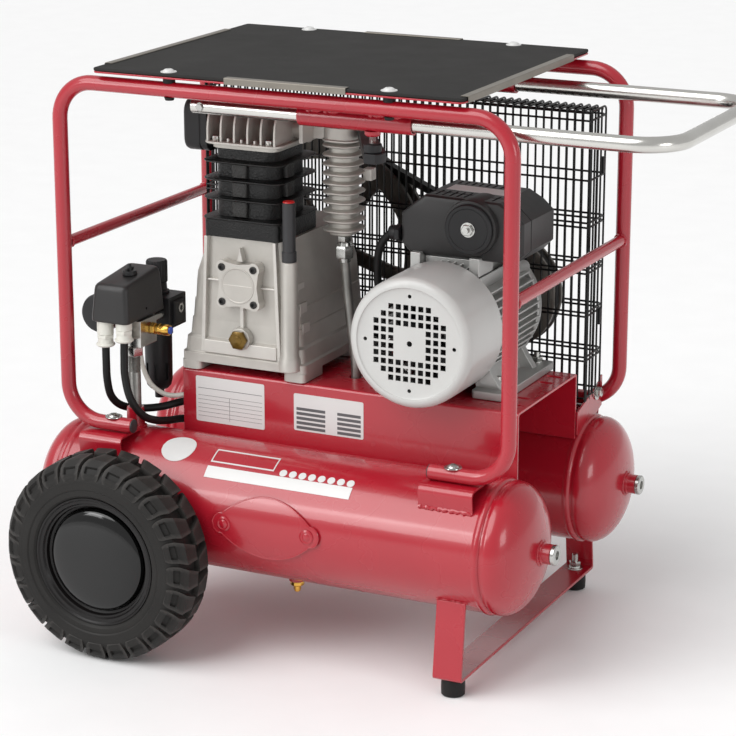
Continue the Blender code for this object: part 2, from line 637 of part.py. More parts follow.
def make_pump_internals(root):
    profile = [(-0.030, 0), (-0.030, 0.034), (-0.018, 0.034), (-0.018, 0.0125), (0.1600, 0.0125),
               (0.1600, 0)]
    shaft = solid("crankshaft", lathe(profile, 20, "Y"), steel("crankshaft"), root, (PUMP_X, 0, CRANK_Z))
    pin = lathe([(-0.0343, 0), (-0.0343, 0.009), (-0.025, 0.009), (-0.025, 0)], 14, "Y")
    bmesh.ops.translate(pin, verts=pin.verts, vec=(PUMP_X, 0, CRANK_Z - THROW))
    add(shaft, pin, root, "crank_pin")

    big_end = CRANK_Z - THROW
    small_end = big_end + 0.107
    ring = lathe([(-0.0490, 0.0098), (-0.0347, 0.0098), (-0.0347, 0.0165), (-0.0490, 0.0165)], 18, "Y",
                 closed=True)
    bmesh.ops.translate(ring, verts=ring.verts, vec=(PUMP_X, 0, big_end))
    rod = solid("connecting_rod", ring, steel("connecting_rod"), root)
    add(rod, box((PUMP_X - 0.0065, -0.0470, big_end + 0.0130), (PUMP_X + 0.0065, -0.0370, small_end)),
        root, "rod_shank")
    wrist = lathe([(-0.0680, 0), (-0.0680, 0.0080), (-0.0160, 0.0080), (-0.0160, 0)], 14, "Y")
    bmesh.ops.translate(wrist, verts=wrist.verts, vec=(PUMP_X, 0, small_end))
    add(rod, wrist, root, "wrist_pin")

    crown = 0.0425
    profile = [(0, 0.0275), (0, 0.0320), (crown, 0.0320), (crown, 0), (crown - 0.006, 0),
               (crown - 0.006, 0.0275)]
    solid("piston", lathe(profile + [profile[0]], 24), cast_aluminium("piston"), root,
          (PUMP_X, CYLINDER_Y, small_end - 0.014))


def make_drive(root):
    rim = [(-0.0150, 0.1120), (-0.0150, 0.1380), (-0.0080, 0.1380), (-0.0080, 0.1240), (0.0080, 0.1240),
           (0.0080, 0.1380), (0.0150, 0.1380), (0.0150, 0.1120)]
    iron = finish_material("flywheel", (0.07, 0.065, 0.06), 0.5, 0.5)
    wheel = solid("flywheel", lathe(rim, 28, "Y", closed=True), iron, root, (PUMP_X, DRIVE_Y, CRANK_Z))
    hub = lathe([(-0.0180, 0.0129), (0.0180, 0.0129), (0.0180, 0.0260), (-0.0180, 0.0260)], 18, "Y",
                closed=True)
    bmesh.ops.translate(hub, verts=hub.verts, vec=(PUMP_X, DRIVE_Y, CRANK_Z))
    add(wheel, hub, root, "flywheel_hub")
    for index in range(5):
        spoke = box((0.0200, -0.0060, -0.0110), (0.1160, 0.0060, 0.0110))
        turn = Matrix.Rotation(math.radians(18 + 72 * index), 3, "Y")
        bmesh.ops.rotate(spoke, verts=spoke.verts, cent=(0, 0, 0), matrix=turn)
        bmesh.ops.translate(spoke, verts=spoke.verts, vec=(PUMP_X, DRIVE_Y, CRANK_Z))
        add(wheel, spoke, root, f"flywheel_spoke_{index}")

    profile = [(-0.0130, 0.0098), (-0.0130, 0.0720), (-0.0080, 0.0720), (-0.0080, 0.0585), (0.0080, 0.0585),
               (0.0080, 0.0720), (0.0130, 0.0720), (0.0130, 0.0098)]
    solid("motor_pulley", lathe(profile, 24, "Y", closed=True),
          finish_material("motor_pulley", (0.05, 0.05, 0.05), 0.5,
          0.5), root, (MOTOR_X, DRIVE_Y, MOTOR_Z))

    span_x = MOTOR_X - PUMP_X
    span_z = MOTOR_Z - CRANK_Z
    span = math.hypot(span_x, span_z)
    lean = math.atan2(span_z, span_x)
    wrap = math.acos((FLYWHEEL_PITCH - PULLEY_PITCH) / span)
    path = []
    for index in range(15):
        angle = lean + wrap + (math.tau - 2 * wrap) * index / 14
        path.append((PUMP_X, CRANK_Z, FLYWHEEL_PITCH, angle))
    for index in range(9):
        angle = lean - wrap + 2 * wrap * index / 8
        path.append((MOTOR_X, MOTOR_Z, PULLEY_PITCH, angle))
    rings = []
    for centre_x, centre_z, radius, angle in path:
        ring = []
        for depth, half in ((-BELT_HALF_DEPTH, 0.0045), (BELT_HALF_DEPTH, BELT_HALF_WIDTH),
                            (BELT_HALF_DEPTH, -BELT_HALF_WIDTH), (-BELT_HALF_DEPTH, -0.0045)):
            ring.append((centre_x + (radius + depth) * math.cos(angle), DRIVE_Y + half,
                         centre_z + (radius + depth) * math.sin(angle)))
        rings.append(ring)
    solid("v_belt", loft(rings, ring_closed=True), rubber("v_belt"), root)


def make_motor(root):
    fins = 18
    outer = []
    for index in range(fins):
        for share, radius in ((0.0, 0.0660), (0.30, 0.0660), (0.36, 0.0745), (0.62, 0.0745),
                              (0.68, 0.0660)):
            angle = math.tau * (index + share) / fins
            outer.append((MOTOR_X + radius * math.cos(angle), MOTOR_Z + radius * math.sin(angle)))
    housing = solid("motor_housing", prism(outer, -0.0470, 0.0780, "Y"), cast_aluminium("motor_housing"),
                    root)
    pedestal = [(-0.050, 0.0640), (0.050, 0.0640), (0.040, 0.090), (-0.040, 0.090)]
    pedestal = [(MOTOR_X + x, z) for x, z in pedestal]
    add(housing, prism(pedestal, -0.0440, 0.0720, "Y"), root, "motor_pedestal")
    add(housing, box((MOTOR_X - 0.085, -0.060, FEET_Z), (MOTOR_X + 0.085, 0.096, 0.0650)), root,
        "motor_foot")
    shield = lathe([(0.0760, 0), (0.0760, 0.0700), (0.0920, 0.0660), (0.0980, 0.0240), (0.1040, 0.0220),
                    (0.1040, 0)],
                   24, "Y")
    bmesh.ops.translate(shield, verts=shield.verts, vec=(MOTOR_X, 0, MOTOR_Z))
    add(housing, shield, root, "motor_shield")
    cut(housing, box((MOTOR_X - 0.0395, -0.070, 0.040), (MOTOR_X + 0.0395, -0.0465, 0.0700)), root,
        "motor_foot_gap")
    hollow = lathe([(-0.0600, 0), (-0.0600, 0.0560), (0.0740, 0.0560), (0.0740, 0.0100), (0.1200, 0.0100),
                    (0.1200, 0)], 24, "Y")
    bmesh.ops.translate(hollow, verts=hollow.verts, vec=(MOTOR_X, 0, MOTOR_Z))
    cut(housing, hollow, root, "motor_hollow")

    profile = [(-0.1400, 0), (-0.1400, 0.0680), (-0.1340, 0.0755), (-0.1250, 0.0775), (-0.0475, 0.0775),
               (-0.0475, 0.0758), (-0.1245, 0.0758), (-0.1330, 0.0735), (-0.1382, 0.0670), (-0.1382, 0)]
    cover = solid("fan_cover", lathe(profile, 28, "Y"), grey_enamel("fan_cover"), root,
                  (MOTOR_X, 0, MOTOR_Z))
    pitch = 0.0230
    holes = []
    for column in range(4):
        for row in range(4):
            if column in (1, 2) and row in (1, 2):
                continue
            x = MOTOR_X + (column - 1.5) * pitch
            z = MOTOR_Z + (row - 1.5) * pitch
            holes.append(((x - 0.008, -0.150, z - 0.008), (x + 0.008, -0.130, z + 0.008)))
    for index, (low, high) in enumerate(holes):
        cut(cover, box(low, high), root, f"fan_cover_hole_{index}")

    profile = [(-0.1250, 0), (-0.1250, 0.0065), (-0.0420, 0.0095), (-0.0400, 0.0450), (0.0650, 0.0450),
               (0.0650, 0.0095), (0.1600, 0.0095), (0.1600, 0)]
    solid("motor_rotor", lathe(profile, 20, "Y"), steel("motor_rotor"), root, (MOTOR_X, 0, MOTOR_Z))
    blades = 7
    outline = []
    for index in range(blades):
        for share, radius in ((0.0, 0.020), (0.30, 0.020), (0.38, 0.066), (0.52, 0.066), (0.60, 0.020)):
            angle = math.tau * (index + share) / blades
            outline.append((radius * math.cos(angle), radius * math.sin(angle)))
    inner = []
    for index in range(len(outline)):
        angle = math.atan2(outline[index][1], outline[index][0])
        inner.append((0.0101 * math.cos(angle), 0.0101 * math.sin(angle)))
    rings = []
    for points, y in ((outline, -0.1180), (outline, -0.0850), (inner, -0.0850), (inner, -0.1180)):
        rings.append([(x, y, z) for x, z in points])
    solid("cooling_fan", loft(rings, ring_closed=True), black_plastic("cooling_fan"), root,
          (MOTOR_X, 0, MOTOR_Z))

    outline = [(0.1000, 0.2135), (0.1180, 0.2135), (0.1180, 0.2100), (0.1780, 0.2100), (0.1780, 0.2135),
               (0.2310, 0.2135), (0.2430, 0.2250), (0.2430, 0.2700), (0.2250, 0.2870), (0.1060, 0.2870),
               (0.0880, 0.2700), (0.0880, 0.2250)]
    solid("terminal_box", prism(outline, -0.0350, 0.0650, "Y"), black_plastic("terminal_box"), root,
          smooth=False)


def make_switch_group(root):
    profile = [(-0.0120, 0), (-0.0120, 0.0105), (0.0123, 0.0105), (0.0123, 0.0075), (0.0780, 0.0075),
               (0.0780, 0.0110), (0.0900, 0.0110), (0.0900, 0)]
    riser = solid("switch_manifold", lathe(profile, 16), steel("switch_manifold"), root,
                  (RISER_X, RISER_Y, 0))
    add(riser, box((-0.0080, -0.0070, 0.0885), (0.0146, 0.0300, 0.1215)), root, "manifold_block")
    nipple = lathe([(0.0280, 0), (0.0280, 0.0060), (0.0600, 0.0060), (0.0600, 0)], 12, "Y")
    bmesh.ops.translate(nipple, verts=nipple.verts, vec=(0.0033, 0, 0.1140))
    add(riser, nipple, root, "manifold_nipple")
    for tool_name in ("manifold_block", "manifold_nipple"):
        bpy.data.objects[tool_name].location = (RISER_X, RISER_Y, 0)

    rings = [rounded_ring(-0.2325, -0.125, 0.0240, 0.0430, 0.008, 0.1222, 3),
             rounded_ring(-0.2325, -0.125, 0.0260, 0.0450, 0.008, 0.1290, 3),
             rounded_ring(-0.2325, -0.125, 0.0235, 0.0420, 0.010, 0.1700, 3),
             rounded_ring(-0.2325, -0.125, 0.0180, 0.0360, 0.010, 0.1780, 3)]
    solid("pressure_switch_cover", loft(rings), black_plastic("pressure_switch_cover"), root)
    profile = [(0, 0), (0, 0.0090), (0.0050, 0.0090), (0.0065, 0.0045), (0.0167, 0.0035), (0.0167, 0)]
    solid("pressure_switch_knob", lathe(profile, 12), black_plastic("pressure_switch_knob"), root,
          (-0.229, -0.125, 0.1783))

    profile = [(0, 0), (0, 0.0060), (0.0060, 0.0060), (0.0060, 0.0068), (0.0260, 0.0068), (0.0260, 0)]
    solid("safety_valve", lathe(profile, 12, "X"), brass("safety_valve"), root,
          (RISER_X + 0.0146 + GAP, -0.1200, 0.1080))

    solid("regulator_body", box((-0.2500, -0.0770, 0.0950), (-0.2030, -0.0360, 0.1345)),
          black_plastic("regulator_body"), root, smooth=False)
    profile = [(0, 0), (0, 0.0110), (0.0130, 0.0110), (0.0130, 0.0130), (0.0412, 0.0130), (0.0412, 0)]
    solid("regulator_knob", lathe(profile, 16), black_plastic("regulator_knob"), root,
          (REGULATOR_X, REGULATOR_Y, 0.1348))
    profile = [(0, 0), (0, 0.0185), (-0.0120, 0.0185), (-0.0120, 0.0165), (-0.0750, 0.0165),
               (-0.0820, 0.0120),
               (-0.0820, 0.0050), (-0.0940, 0.0050), (-0.0940, 0)]
    solid("filter_bowl", lathe(list(reversed(profile)), 16), black_plastic("filter_bowl"), root,
          (REGULATOR_X, REGULATOR_Y, 0.0947))

    profile = [(-0.0130, 0), (-0.0130, 0.0247), (0.0110, 0.0247), (0.0130, 0.0235), (0.0130, 0.0215),
               (0.0075, 0.0215), (0.0075, 0)]
    gauge = solid("pressure_gauge", lathe(profile, 24, "Y"), black_plastic("pressure_gauge"), root,
                  (GAUGE_X, GAUGE_Y, GAUGE_Z))
    stem = lathe([(0.0200, 0), (0.0200, 0.0060), (0.0557, 0.0060), (0.0557, 0)], 12, "X")
    add(gauge, stem, root, "gauge_stem")
    bpy.data.objects["gauge_stem"].location = (GAUGE_X, GAUGE_Y, GAUGE_Z)
    needle = box((-0.0008, 0.0090, -0.0050), (0.0008, 0.0100, 0.0180))
    solid("gauge_needle", needle, finish_material("gauge_needle", (0.6, 0.03, 0.03), 0.4), root,
          (GAUGE_X, GAUGE_Y, GAUGE_Z), smooth=False)


def make_leads(root):
    tube("power_cable", smooth_route(POWER_ROUTE, 0.026), LEAD_R, rubber("power_cable"), root)
    tube("motor_cable", smooth_route(MOTOR_ROUTE, 0.026), LEAD_R, rubber("motor_cable"), root)
    white = finish_material("unloader_tube", (0.80, 0.80, 0.78), 0.4)
    tube("unloader_tube", smooth_route(UNLOADER_ROUTE, 0.017), UNLOADER_R, white, root)


def main():
    clear_scene()
    reference = bpy.data.objects.new("reference", None)
    left_end = TANK_LEFT - DOME
    right_end = HANDLE_RIGHT + TUBE
    reference.location = (-(left_end + right_end) / 2, 0, -GROUND)
    bpy.context.scene.collection.objects.link(reference)
    make_tanks(reference)
    make_platform(reference)
    make_cage(reference)
    make_cage_brackets(reference)
    make_leg(reference)
    make_wheels(reference)
    make_roof(reference)
    make_handle(reference)
    make_guard(reference)
    make_pump(reference)
    make_pump_internals(reference)
    make_drive(reference)
    make_motor(reference)
    make_switch_group(reference)
    make_leads(reference)


main()
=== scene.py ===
"""Looks of the portable air compressor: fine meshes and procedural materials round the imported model.

Places are in metres from the middle of the tube cage in X and Y, and from the centreline of its lower
tube ends in Z. ORIGIN carries them into the frame.
"""
import json
import math

import bmesh
import bpy
from mathutils import Matrix, Vector


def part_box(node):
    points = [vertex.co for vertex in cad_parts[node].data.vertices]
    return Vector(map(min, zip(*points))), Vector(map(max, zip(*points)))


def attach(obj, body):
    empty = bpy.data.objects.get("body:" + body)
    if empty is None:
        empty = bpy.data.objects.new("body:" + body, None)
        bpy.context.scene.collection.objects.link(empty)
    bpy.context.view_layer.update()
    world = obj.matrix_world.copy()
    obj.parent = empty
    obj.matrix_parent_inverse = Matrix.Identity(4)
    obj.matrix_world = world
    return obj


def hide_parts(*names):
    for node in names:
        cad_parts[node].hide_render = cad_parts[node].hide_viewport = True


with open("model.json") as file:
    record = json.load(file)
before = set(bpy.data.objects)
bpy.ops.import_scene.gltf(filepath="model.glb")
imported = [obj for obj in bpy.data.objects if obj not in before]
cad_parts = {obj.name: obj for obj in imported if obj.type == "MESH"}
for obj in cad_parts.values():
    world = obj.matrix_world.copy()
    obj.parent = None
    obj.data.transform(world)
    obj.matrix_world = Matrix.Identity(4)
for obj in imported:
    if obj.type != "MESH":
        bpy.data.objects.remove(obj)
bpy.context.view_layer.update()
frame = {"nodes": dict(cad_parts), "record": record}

TUBE = 0.009
cage_low, cage_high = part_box("front_cage_tube")
ORIGIN = Vector(((cage_low.x + cage_high.x) / 2, 0, cage_low.z + TUBE))

CAGE_X, CAGE_Y, CAGE_TOP, CAGE_BEND = 0.288, 0.1753, 0.412, 0.045
TANK_R, TANK_Y, TANK_Z = 0.0783, 0.138, -0.0912
TANK_LEFT, TANK_RIGHT, DOME = -0.2936, 0.277, 0.039
GROUND = -ORIGIN.z
WHEEL_X, WHEEL_Y, WHEEL_R = -0.1906, 0.2555, 0.125
WHEEL_Z = GROUND + WHEEL_R
LUG_PROFILE = [(0.0349, 0.102), (0.0345, 0.1085), (0.0292, 0.1196), (0.0225, 0.1242), (0.002, 0.125)]
LEG_X, FOOT_Y, FOOT_TOP = 0.23, 0.19, GROUND + 0.022
SIDES = (("front", -1), ("rear", 1))
PLATFORM_LEFT, PLATFORM_RIGHT, PLATFORM_Y, PLATFORM_TOP = -0.177, 0.2647, 0.0918, 0.0549
HANDLE_Y, HANDLE_Z = 0.147, 0.391
PUMP_X, CRANK_Z, CYLINDER_Y = -0.0935, 0.168, -0.042
MOTOR_X, MOTOR_Z, DRIVE_Y = 0.148, 0.135, 0.14
COOLER_X, COOLER_Y = 0.007, -0.02
BREATHER_X, BREATHER_Y = -0.0288, -0.0995
RISER_X, RISER_Y = -0.2176, -0.138
REGULATOR_X, REGULATOR_Y = -0.232, -0.056
GAUGE_X, GAUGE_Y, GAUGE_Z = -0.306, -0.065, 0.103
LEAD_R, UNLOADER_R = 0.0048, 0.003
LABEL_LIFT, LABEL_THICK = 0.0005, 0.0008
AXIS_GAP = 0.000001
POWER_ROUTE = [(-0.2455, -0.157, 0.0895), (-0.2455, -0.157, 0.07), (-0.2455, -0.156, 0.048),
    (-0.2445, -0.15, 0.026), (-0.239, -0.137, 0.011), (-0.227, -0.117, 0.003), (-0.208, -0.094, 0.001),
    (-0.186, -0.075, 0.006), (-0.16, -0.064, 0.012), (-0.12, -0.06, 0.016), (-0.06, -0.06, 0.018),
    (0.0, -0.06, 0.018), (0.07, -0.06, 0.016), (0.14, -0.06, 0.014), (0.21, -0.06, 0.014)]
MOTOR_ROUTE = [(-0.2195, -0.157, 0.0975), (-0.2195, -0.158, 0.08), (-0.216, -0.163, 0.056),
    (-0.207, -0.166, 0.03), (-0.198, -0.154, 0.008), (-0.193, -0.134, -0.003), (-0.1895, -0.108, -0.01),
    (-0.183, -0.082, -0.014), (-0.155, -0.063, -0.016), (-0.1, -0.05, -0.016), (-0.05, -0.042, -0.014),
    (0.0, -0.036, -0.01), (0.033, -0.028, 0.0), (0.05, -0.018, 0.018), (0.0558, -0.0105, 0.045),
    (0.056, -0.01, 0.08), (0.053, -0.014, 0.13), (0.052, -0.022, 0.18), (0.057, -0.028, 0.212),
    (0.067, -0.03, 0.229), (0.0775, -0.03, 0.2355), (0.0855, -0.03, 0.2362)]
UNLOADER_ROUTE = [(-0.234, -0.1, 0.115), (-0.234, -0.1, 0.098), (-0.233, -0.099, 0.074),
    (-0.229, -0.098, 0.048), (-0.219, -0.096, 0.028), (-0.201, -0.092, 0.017), (-0.18, -0.086, 0.018),
    (-0.15, -0.078, 0.026), (-0.11, -0.073, 0.032), (-0.05, -0.071, 0.034), (0.0, -0.066, 0.032),
    (0.016, -0.056, 0.03)]


# ---- materials ----------------------------------------------------------------------------------

def noise_node(tree, coords, scale, detail):
    texture = tree.nodes.new("ShaderNodeTexNoise")
    texture.inputs["Scale"].default_value = scale
    texture.inputs["Detail"].default_value = detail
    tree.links.new(coords.outputs["Object"], texture.inputs["Vector"])
    return texture


LOOKS = {}


def look(name, colour, shade=0.1, rough=0.4, spread=0.06, metallic=0.0, coat=0.0, grain=300.0,
        depth=0.00005, patch=14.0, wear=None, glint=0.5):
    """A procedural finish: patches of tone and roughness, a fine bump, and paler worn edges if asked."""
    material = bpy.data.materials.new(name)
    material.use_nodes = True
    tree = material.node_tree
    shader = tree.nodes["Principled BSDF"]
    shader.inputs["Metallic"].default_value = metallic
    shader.inputs["Specular IOR Level"].default_value = glint
    shader.inputs["Coat Weight"].default_value = coat
    shader.inputs["Coat Roughness"].default_value = 0.08
    coords = tree.nodes.new("ShaderNodeTexCoord")
    patches = noise_node(tree, coords, patch, 5.0)
    ramp = tree.nodes.new("ShaderNodeValToRGB")
    ramp.color_ramp.elements[0].position = 0.3
    ramp.color_ramp.elements[1].position = 0.7
    ramp.color_ramp.elements[0].color = (*[c * (1 - shade) for c in colour], 1)
    ramp.color_ramp.elements[1].color = (*[min(1, c * (1 + shade)) for c in colour], 1)
    tree.links.new(patches.outputs["Fac"], ramp.inputs["Fac"])
    base = ramp.outputs["Color"]
    if wear:
        geometry = tree.nodes.new("ShaderNodeNewGeometry")
        edge = tree.nodes.new("ShaderNodeMapRange")
        edge.inputs["From Min"].default_value = 0.53
        edge.inputs["From Max"].default_value = 0.62
        tree.links.new(geometry.outputs["Pointiness"], edge.inputs["Value"])
        mix = tree.nodes.new("ShaderNodeMix")
        mix.data_type = "RGBA"
        mix.inputs["B"].default_value = (*wear, 1)
        tree.links.new(edge.outputs["Result"], mix.inputs["Factor"])
        tree.links.new(base, mix.inputs["A"])
        base = mix.outputs["Result"]
    tree.links.new(base, shader.inputs["Base Color"])
    smudge = noise_node(tree, coords, patch * 3.1, 3.0)
    spread_node = tree.nodes.new("ShaderNodeMapRange")
    spread_node.inputs["To Min"].default_value = max(0.02, rough - spread)
    spread_node.inputs["To Max"].default_value = rough + spread
    tree.links.new(smudge.outputs["Fac"], spread_node.inputs["Value"])
    tree.links.new(spread_node.outputs["Result"], shader.inputs["Roughness"])
    fine = noise_node(tree, coords, grain, 4.0)
    bump = tree.nodes.new("ShaderNodeBump")
    bump.inputs["Distance"].default_value = depth
    tree.links.new(fine.outputs["Fac"], bump.inputs["Height"])
    tree.links.new(bump.outputs["Normal"], shader.inputs["Normal"])
    LOOKS[name] = material
    return material


def make_looks():
    """One finish per material slot of the record, then the finer ones that single pieces use."""
    look("red_enamel", (0.38, 0.008, 0.02), 0.06, 0.27, 0.05, coat=0.5, grain=140, depth=0.000015,
        patch=5)
    look("black_wire", (0.004, 0.004, 0.004), 0.2, 0.34, 0.06, grain=500, glint=0.3)
    look("grey_enamel", (0.52, 0.52, 0.505), 0.03, 0.33, 0.05, coat=0.2, grain=160, depth=0.00004)
    look("cast_alloy", (0.47, 0.45, 0.415), 0.09, 0.46, 0.08, metallic=0.55, grain=900, depth=0.00014,
        patch=22, wear=(0.74, 0.72, 0.68))
    look("black_iron", (0.005, 0.005, 0.005), 0.35, 0.34, 0.14, grain=420, depth=0.0011, patch=40,
        wear=(0.05, 0.048, 0.045), glint=0.35)
    look("bare_steel", (0.52, 0.52, 0.5), 0.08, 0.24, 0.08, metallic=1.0, grain=400, patch=30)
    look("handle_metal", (0.62, 0.61, 0.58), 0.08, 0.22, 0.07, metallic=1.0, grain=300, depth=0.00003,
        patch=9)
    look("brass", (0.66, 0.38, 0.08), 0.12, 0.24, 0.07, metallic=1.0, grain=400, patch=60)
    look("black_plastic", (0.012, 0.012, 0.013), 0.1, 0.42, 0.07, grain=1100, depth=0.00008, patch=18,
        glint=0.35)
    look("wheel_plastic", (0.007, 0.006, 0.006), 0.15, 0.33, 0.06, grain=500, patch=20, glint=0.3)
    look("black_rubber", (0.006, 0.006, 0.006), 0.2, 0.5, 0.08, grain=700, patch=30, glint=0.3)
    look("mat_rubber", (0.024, 0.023, 0.022), 0.14, 0.7, 0.06, grain=1500, depth=0.0002, patch=9,
        glint=0.2)
    look("tyre_rubber", (0.014, 0.013, 0.012), 0.18, 0.56, 0.1, grain=450, depth=0.00018, patch=16,
        wear=(0.05, 0.046, 0.043), glint=0.25)
    look("white_plastic", (0.68, 0.67, 0.61), 0.04, 0.38, 0.05, grain=600, patch=30)
    look("needle_paint", (0.6, 0.03, 0.03), 0.08, 0.35, 0.05, grain=400)
    look("hub_gloss", (0.002, 0.002, 0.002), 0.1, 0.1, 0.03, coat=0.4, grain=200, depth=0.00002,
        glint=0.3)
    look("clip_metal", (0.23, 0.21, 0.18), 0.12, 0.42, 0.08, metallic=0.6, grain=350, patch=24)
    look("raw_iron", (0.075, 0.068, 0.058), 0.25, 0.42, 0.1, metallic=0.5, grain=600, depth=0.0003,
        patch=26, wear=(0.3, 0.28, 0.25))
    look("motor_silver", (0.4, 0.4, 0.39), 0.06, 0.36, 0.06, metallic=0.55, grain=600, depth=0.0001,
        patch=20, wear=(0.6, 0.6, 0.58))
    look("label_white", (0.66, 0.66, 0.65), 0.02, 0.32, 0.04, grain=500, depth=0.00002)
    look("label_grey", (0.1, 0.1, 0.105), 0.05, 0.4, 0.04, grain=500, depth=0.00002)
    look("label_yellow", (0.62, 0.38, 0.03), 0.05, 0.36, 0.04, grain=500, depth=0.00002)
    look("sight_amber", (0.15, 0.085, 0.012), 0.25, 0.25, 0.06, metallic=0.5, grain=300, patch=60)
    look("collar_orange", (0.7, 0.17, 0.02), 0.06, 0.34, 0.05, grain=500)
    look("cap_blue", (0.02, 0.07, 0.45), 0.06, 0.32, 0.05, grain=500)
    look("cap_red", (0.55, 0.015, 0.015), 0.06, 0.36, 0.05, grain=500)
    look("tube_grey", (0.03, 0.03, 0.032), 0.08, 0.42, 0.05, grain=500, glint=0.4)
    look("pipe_grey", (0.27, 0.265, 0.25), 0.18, 0.4, 0.08, metallic=0.85, grain=500, patch=60)
    look("box_charcoal", (0.026, 0.025, 0.025), 0.1, 0.36, 0.06, grain=900, depth=0.00006, patch=16,
        glint=0.35)


# ---- mesh helpers -------------------------------------------------------------------------------

def merge(*shapes):
    whole = shapes[0]
    for extra in shapes[1:]:
        mesh = bpy.data.meshes.new("carrier")
        extra.to_mesh(mesh)
        extra.free()
        whole.from_mesh(mesh)
        bpy.data.meshes.remove(mesh)
    return whole


def place(shape, at=(0, 0, 0), axis="Z"):
    """Carry a shape made about Z onto another axis and to its place."""
    turns = {"X": Matrix.Rotation(math.radians(90), 3, "Y"), "Y": Matrix.Rotation(math.radians(-90), 3,
            "X"), "-X": Matrix.Rotation(math.radians(-90), 3, "Y"),
        "-Y": Matrix.Rotation(math.radians(90), 3, "X"), "-Z": Matrix.Rotation(math.radians(180), 3, "X")}
    if axis != "Z":
        bmesh.ops.rotate(shape, verts=shape.verts, cent=(0, 0, 0), matrix=turns[axis])
    bmesh.ops.translate(shape, verts=shape.verts, vec=at)
    return shape


def turned(profile, steps=32, at=(0, 0, 0), axis="Z", closed=False):
    """Spin (place along the axis, radius) points into a closed surface, with flat ends or as a ring."""
    if not closed:
        ends = [[(along, 0)] if radius > AXIS_GAP else [] for along, radius in (profile[0], profile[-1])]
        profile = ends[0] + profile + ends[1]
    shape = bmesh.new()
    points = [shape.verts.new((radius, 0, along)) for along, radius in profile]
    edges = [shape.edges.new(pair) for pair in zip(points, points[1:])]
    if closed:
        edges.append(shape.edges.new((points[-1], points[0])))
    bmesh.ops.spin(shape, geom=points + edges, cent=(0, 0, 0), axis=(0, 0, 1), angle=math.tau,
        steps=steps)
    bmesh.ops.remove_doubles(shape, verts=shape.verts, dist=0.000002)
    return place(shape, at, axis)


def block(low, high):
    shape = bmesh.new()
    size = Vector(high) - Vector(low)
    middle = (Vector(high) + Vector(low)) / 2
    bmesh.ops.create_cube(shape, size=1.0,
        matrix=Matrix.Translation(middle) @ Matrix.Diagonal((*size, 1)))
    return shape


def prism(outline, low, high, axis="X"):
    """Extrude a flat outline along an axis. Points are (y, z) for X, (x, z) for Y and (x, y) for Z."""
    spread = {"X": lambda a, b: (low, a, b), "Y": lambda a, b: (a, low, b),
        "Z": lambda a, b: (a, b, low)}[axis]
    step = {"X": (high - low, 0, 0), "Y": (0, high - low, 0), "Z": (0, 0, high - low)}[axis]
    shape = bmesh.new()
    face = shape.faces.new([shape.verts.new(spread(a, b)) for a, b in outline])
    made = bmesh.ops.extrude_face_region(shape, geom=[face])["geom"]
    bmesh.ops.translate(shape, verts=[v for v in made if isinstance(v, bmesh.types.BMVert)], vec=step)
    return shape


def loft(rings, ring_closed=False):
    shape = bmesh.new()
    loops = [[shape.verts.new(point) for point in ring] for ring in rings]
    count = len(loops[0])
    pairs = list(zip(loops, loops[1:]))
    if ring_closed:
        pairs.append((loops[-1], loops[0]))
    for first, second in pairs:
        for index in range(count):
            after = (index + 1) % count
            shape.faces.new((first[index], first[after], second[after], second[index]))
    if not ring_closed:
        shape.faces.new(loops[0])
        shape.faces.new(list(reversed(loops[-1])))
    return shape


def rounded_ring(centre_x, centre_y, half_x, half_y, corner, z, per_corner=6):
    points = []
    for quarter, (sign_x, sign_y) in enumerate([(1, 1), (-1, 1), (-1, -1), (1, -1)]):
        for index in range(per_corner + 1):
            angle = math.radians(90 * quarter + 90 * index / per_corner)
            points.append((centre_x + sign_x * (half_x - corner) + corner * math.cos(angle),
                    centre_y + sign_y * (half_y - corner) + corner * math.sin(angle), z))
    return points


def swept(points, radius, sides=12, closed=False, wobble=0.0):
    """A round bar along the points. Wobble swells and thins it, as a hand-laid weld does."""
    points = [Vector(point) for point in points]
    count = len(points)
    rings = []
    normal = None
    for index, point in enumerate(points):
        before = points[index - 1] if closed or index > 0 else point
        after = points[(index + 1) % count] if closed or index < count - 1 else point
        along = (after - before).normalized()
        if normal is None:
            normal = along.orthogonal()
        normal = (normal - along * normal.dot(along)).normalized()
        side = along.cross(normal)
        reach = radius * (1 + wobble * math.sin(index * 2.3) + wobble * 0.6 * math.sin(index * 5.1 + 1))
        turns = [math.tau * k / sides for k in range(sides)]
        rings.append([point + (normal * math.cos(turn) + side * math.sin(turn)) * reach
                for turn in turns])
    return loft(rings, ring_closed=closed)


def rod(start, end, radius, sides=8):
    return swept([start, end], radius, sides)


def ring_path(centre, axis, radius, count=36):
    """Points of a circle round an axis."""
    centre = Vector(centre)
    path = []
    for index in range(count):
        a = radius * math.cos(math.tau * index / count)
        b = radius * math.sin(math.tau * index / count)
        path.append(centre + Vector({"X": (0, a, b), "Y": (a, 0, b), "Z": (a, b, 0)}[axis]))
    return path


def bent_path(corners, bend, steps):
    path = [Vector(corners[0])]
    for before, corner, after in zip(corners, corners[1:], corners[2:]):
        corner = Vector(corner)
        back = (Vector(before) - corner).normalized()
        ahead = (Vector(after) - corner).normalized()
        half = back.angle(ahead) / 2
        reach = bend / math.tan(half)
        middle = corner + (back + ahead).normalized() * bend / math.sin(half)
        start = corner + back * reach - middle
        end = corner + ahead * reach - middle
        for index in range(steps + 1):
            path.append(middle + start.slerp(end, index / steps) * bend)
    path.append(Vector(corners[-1]))
    return path


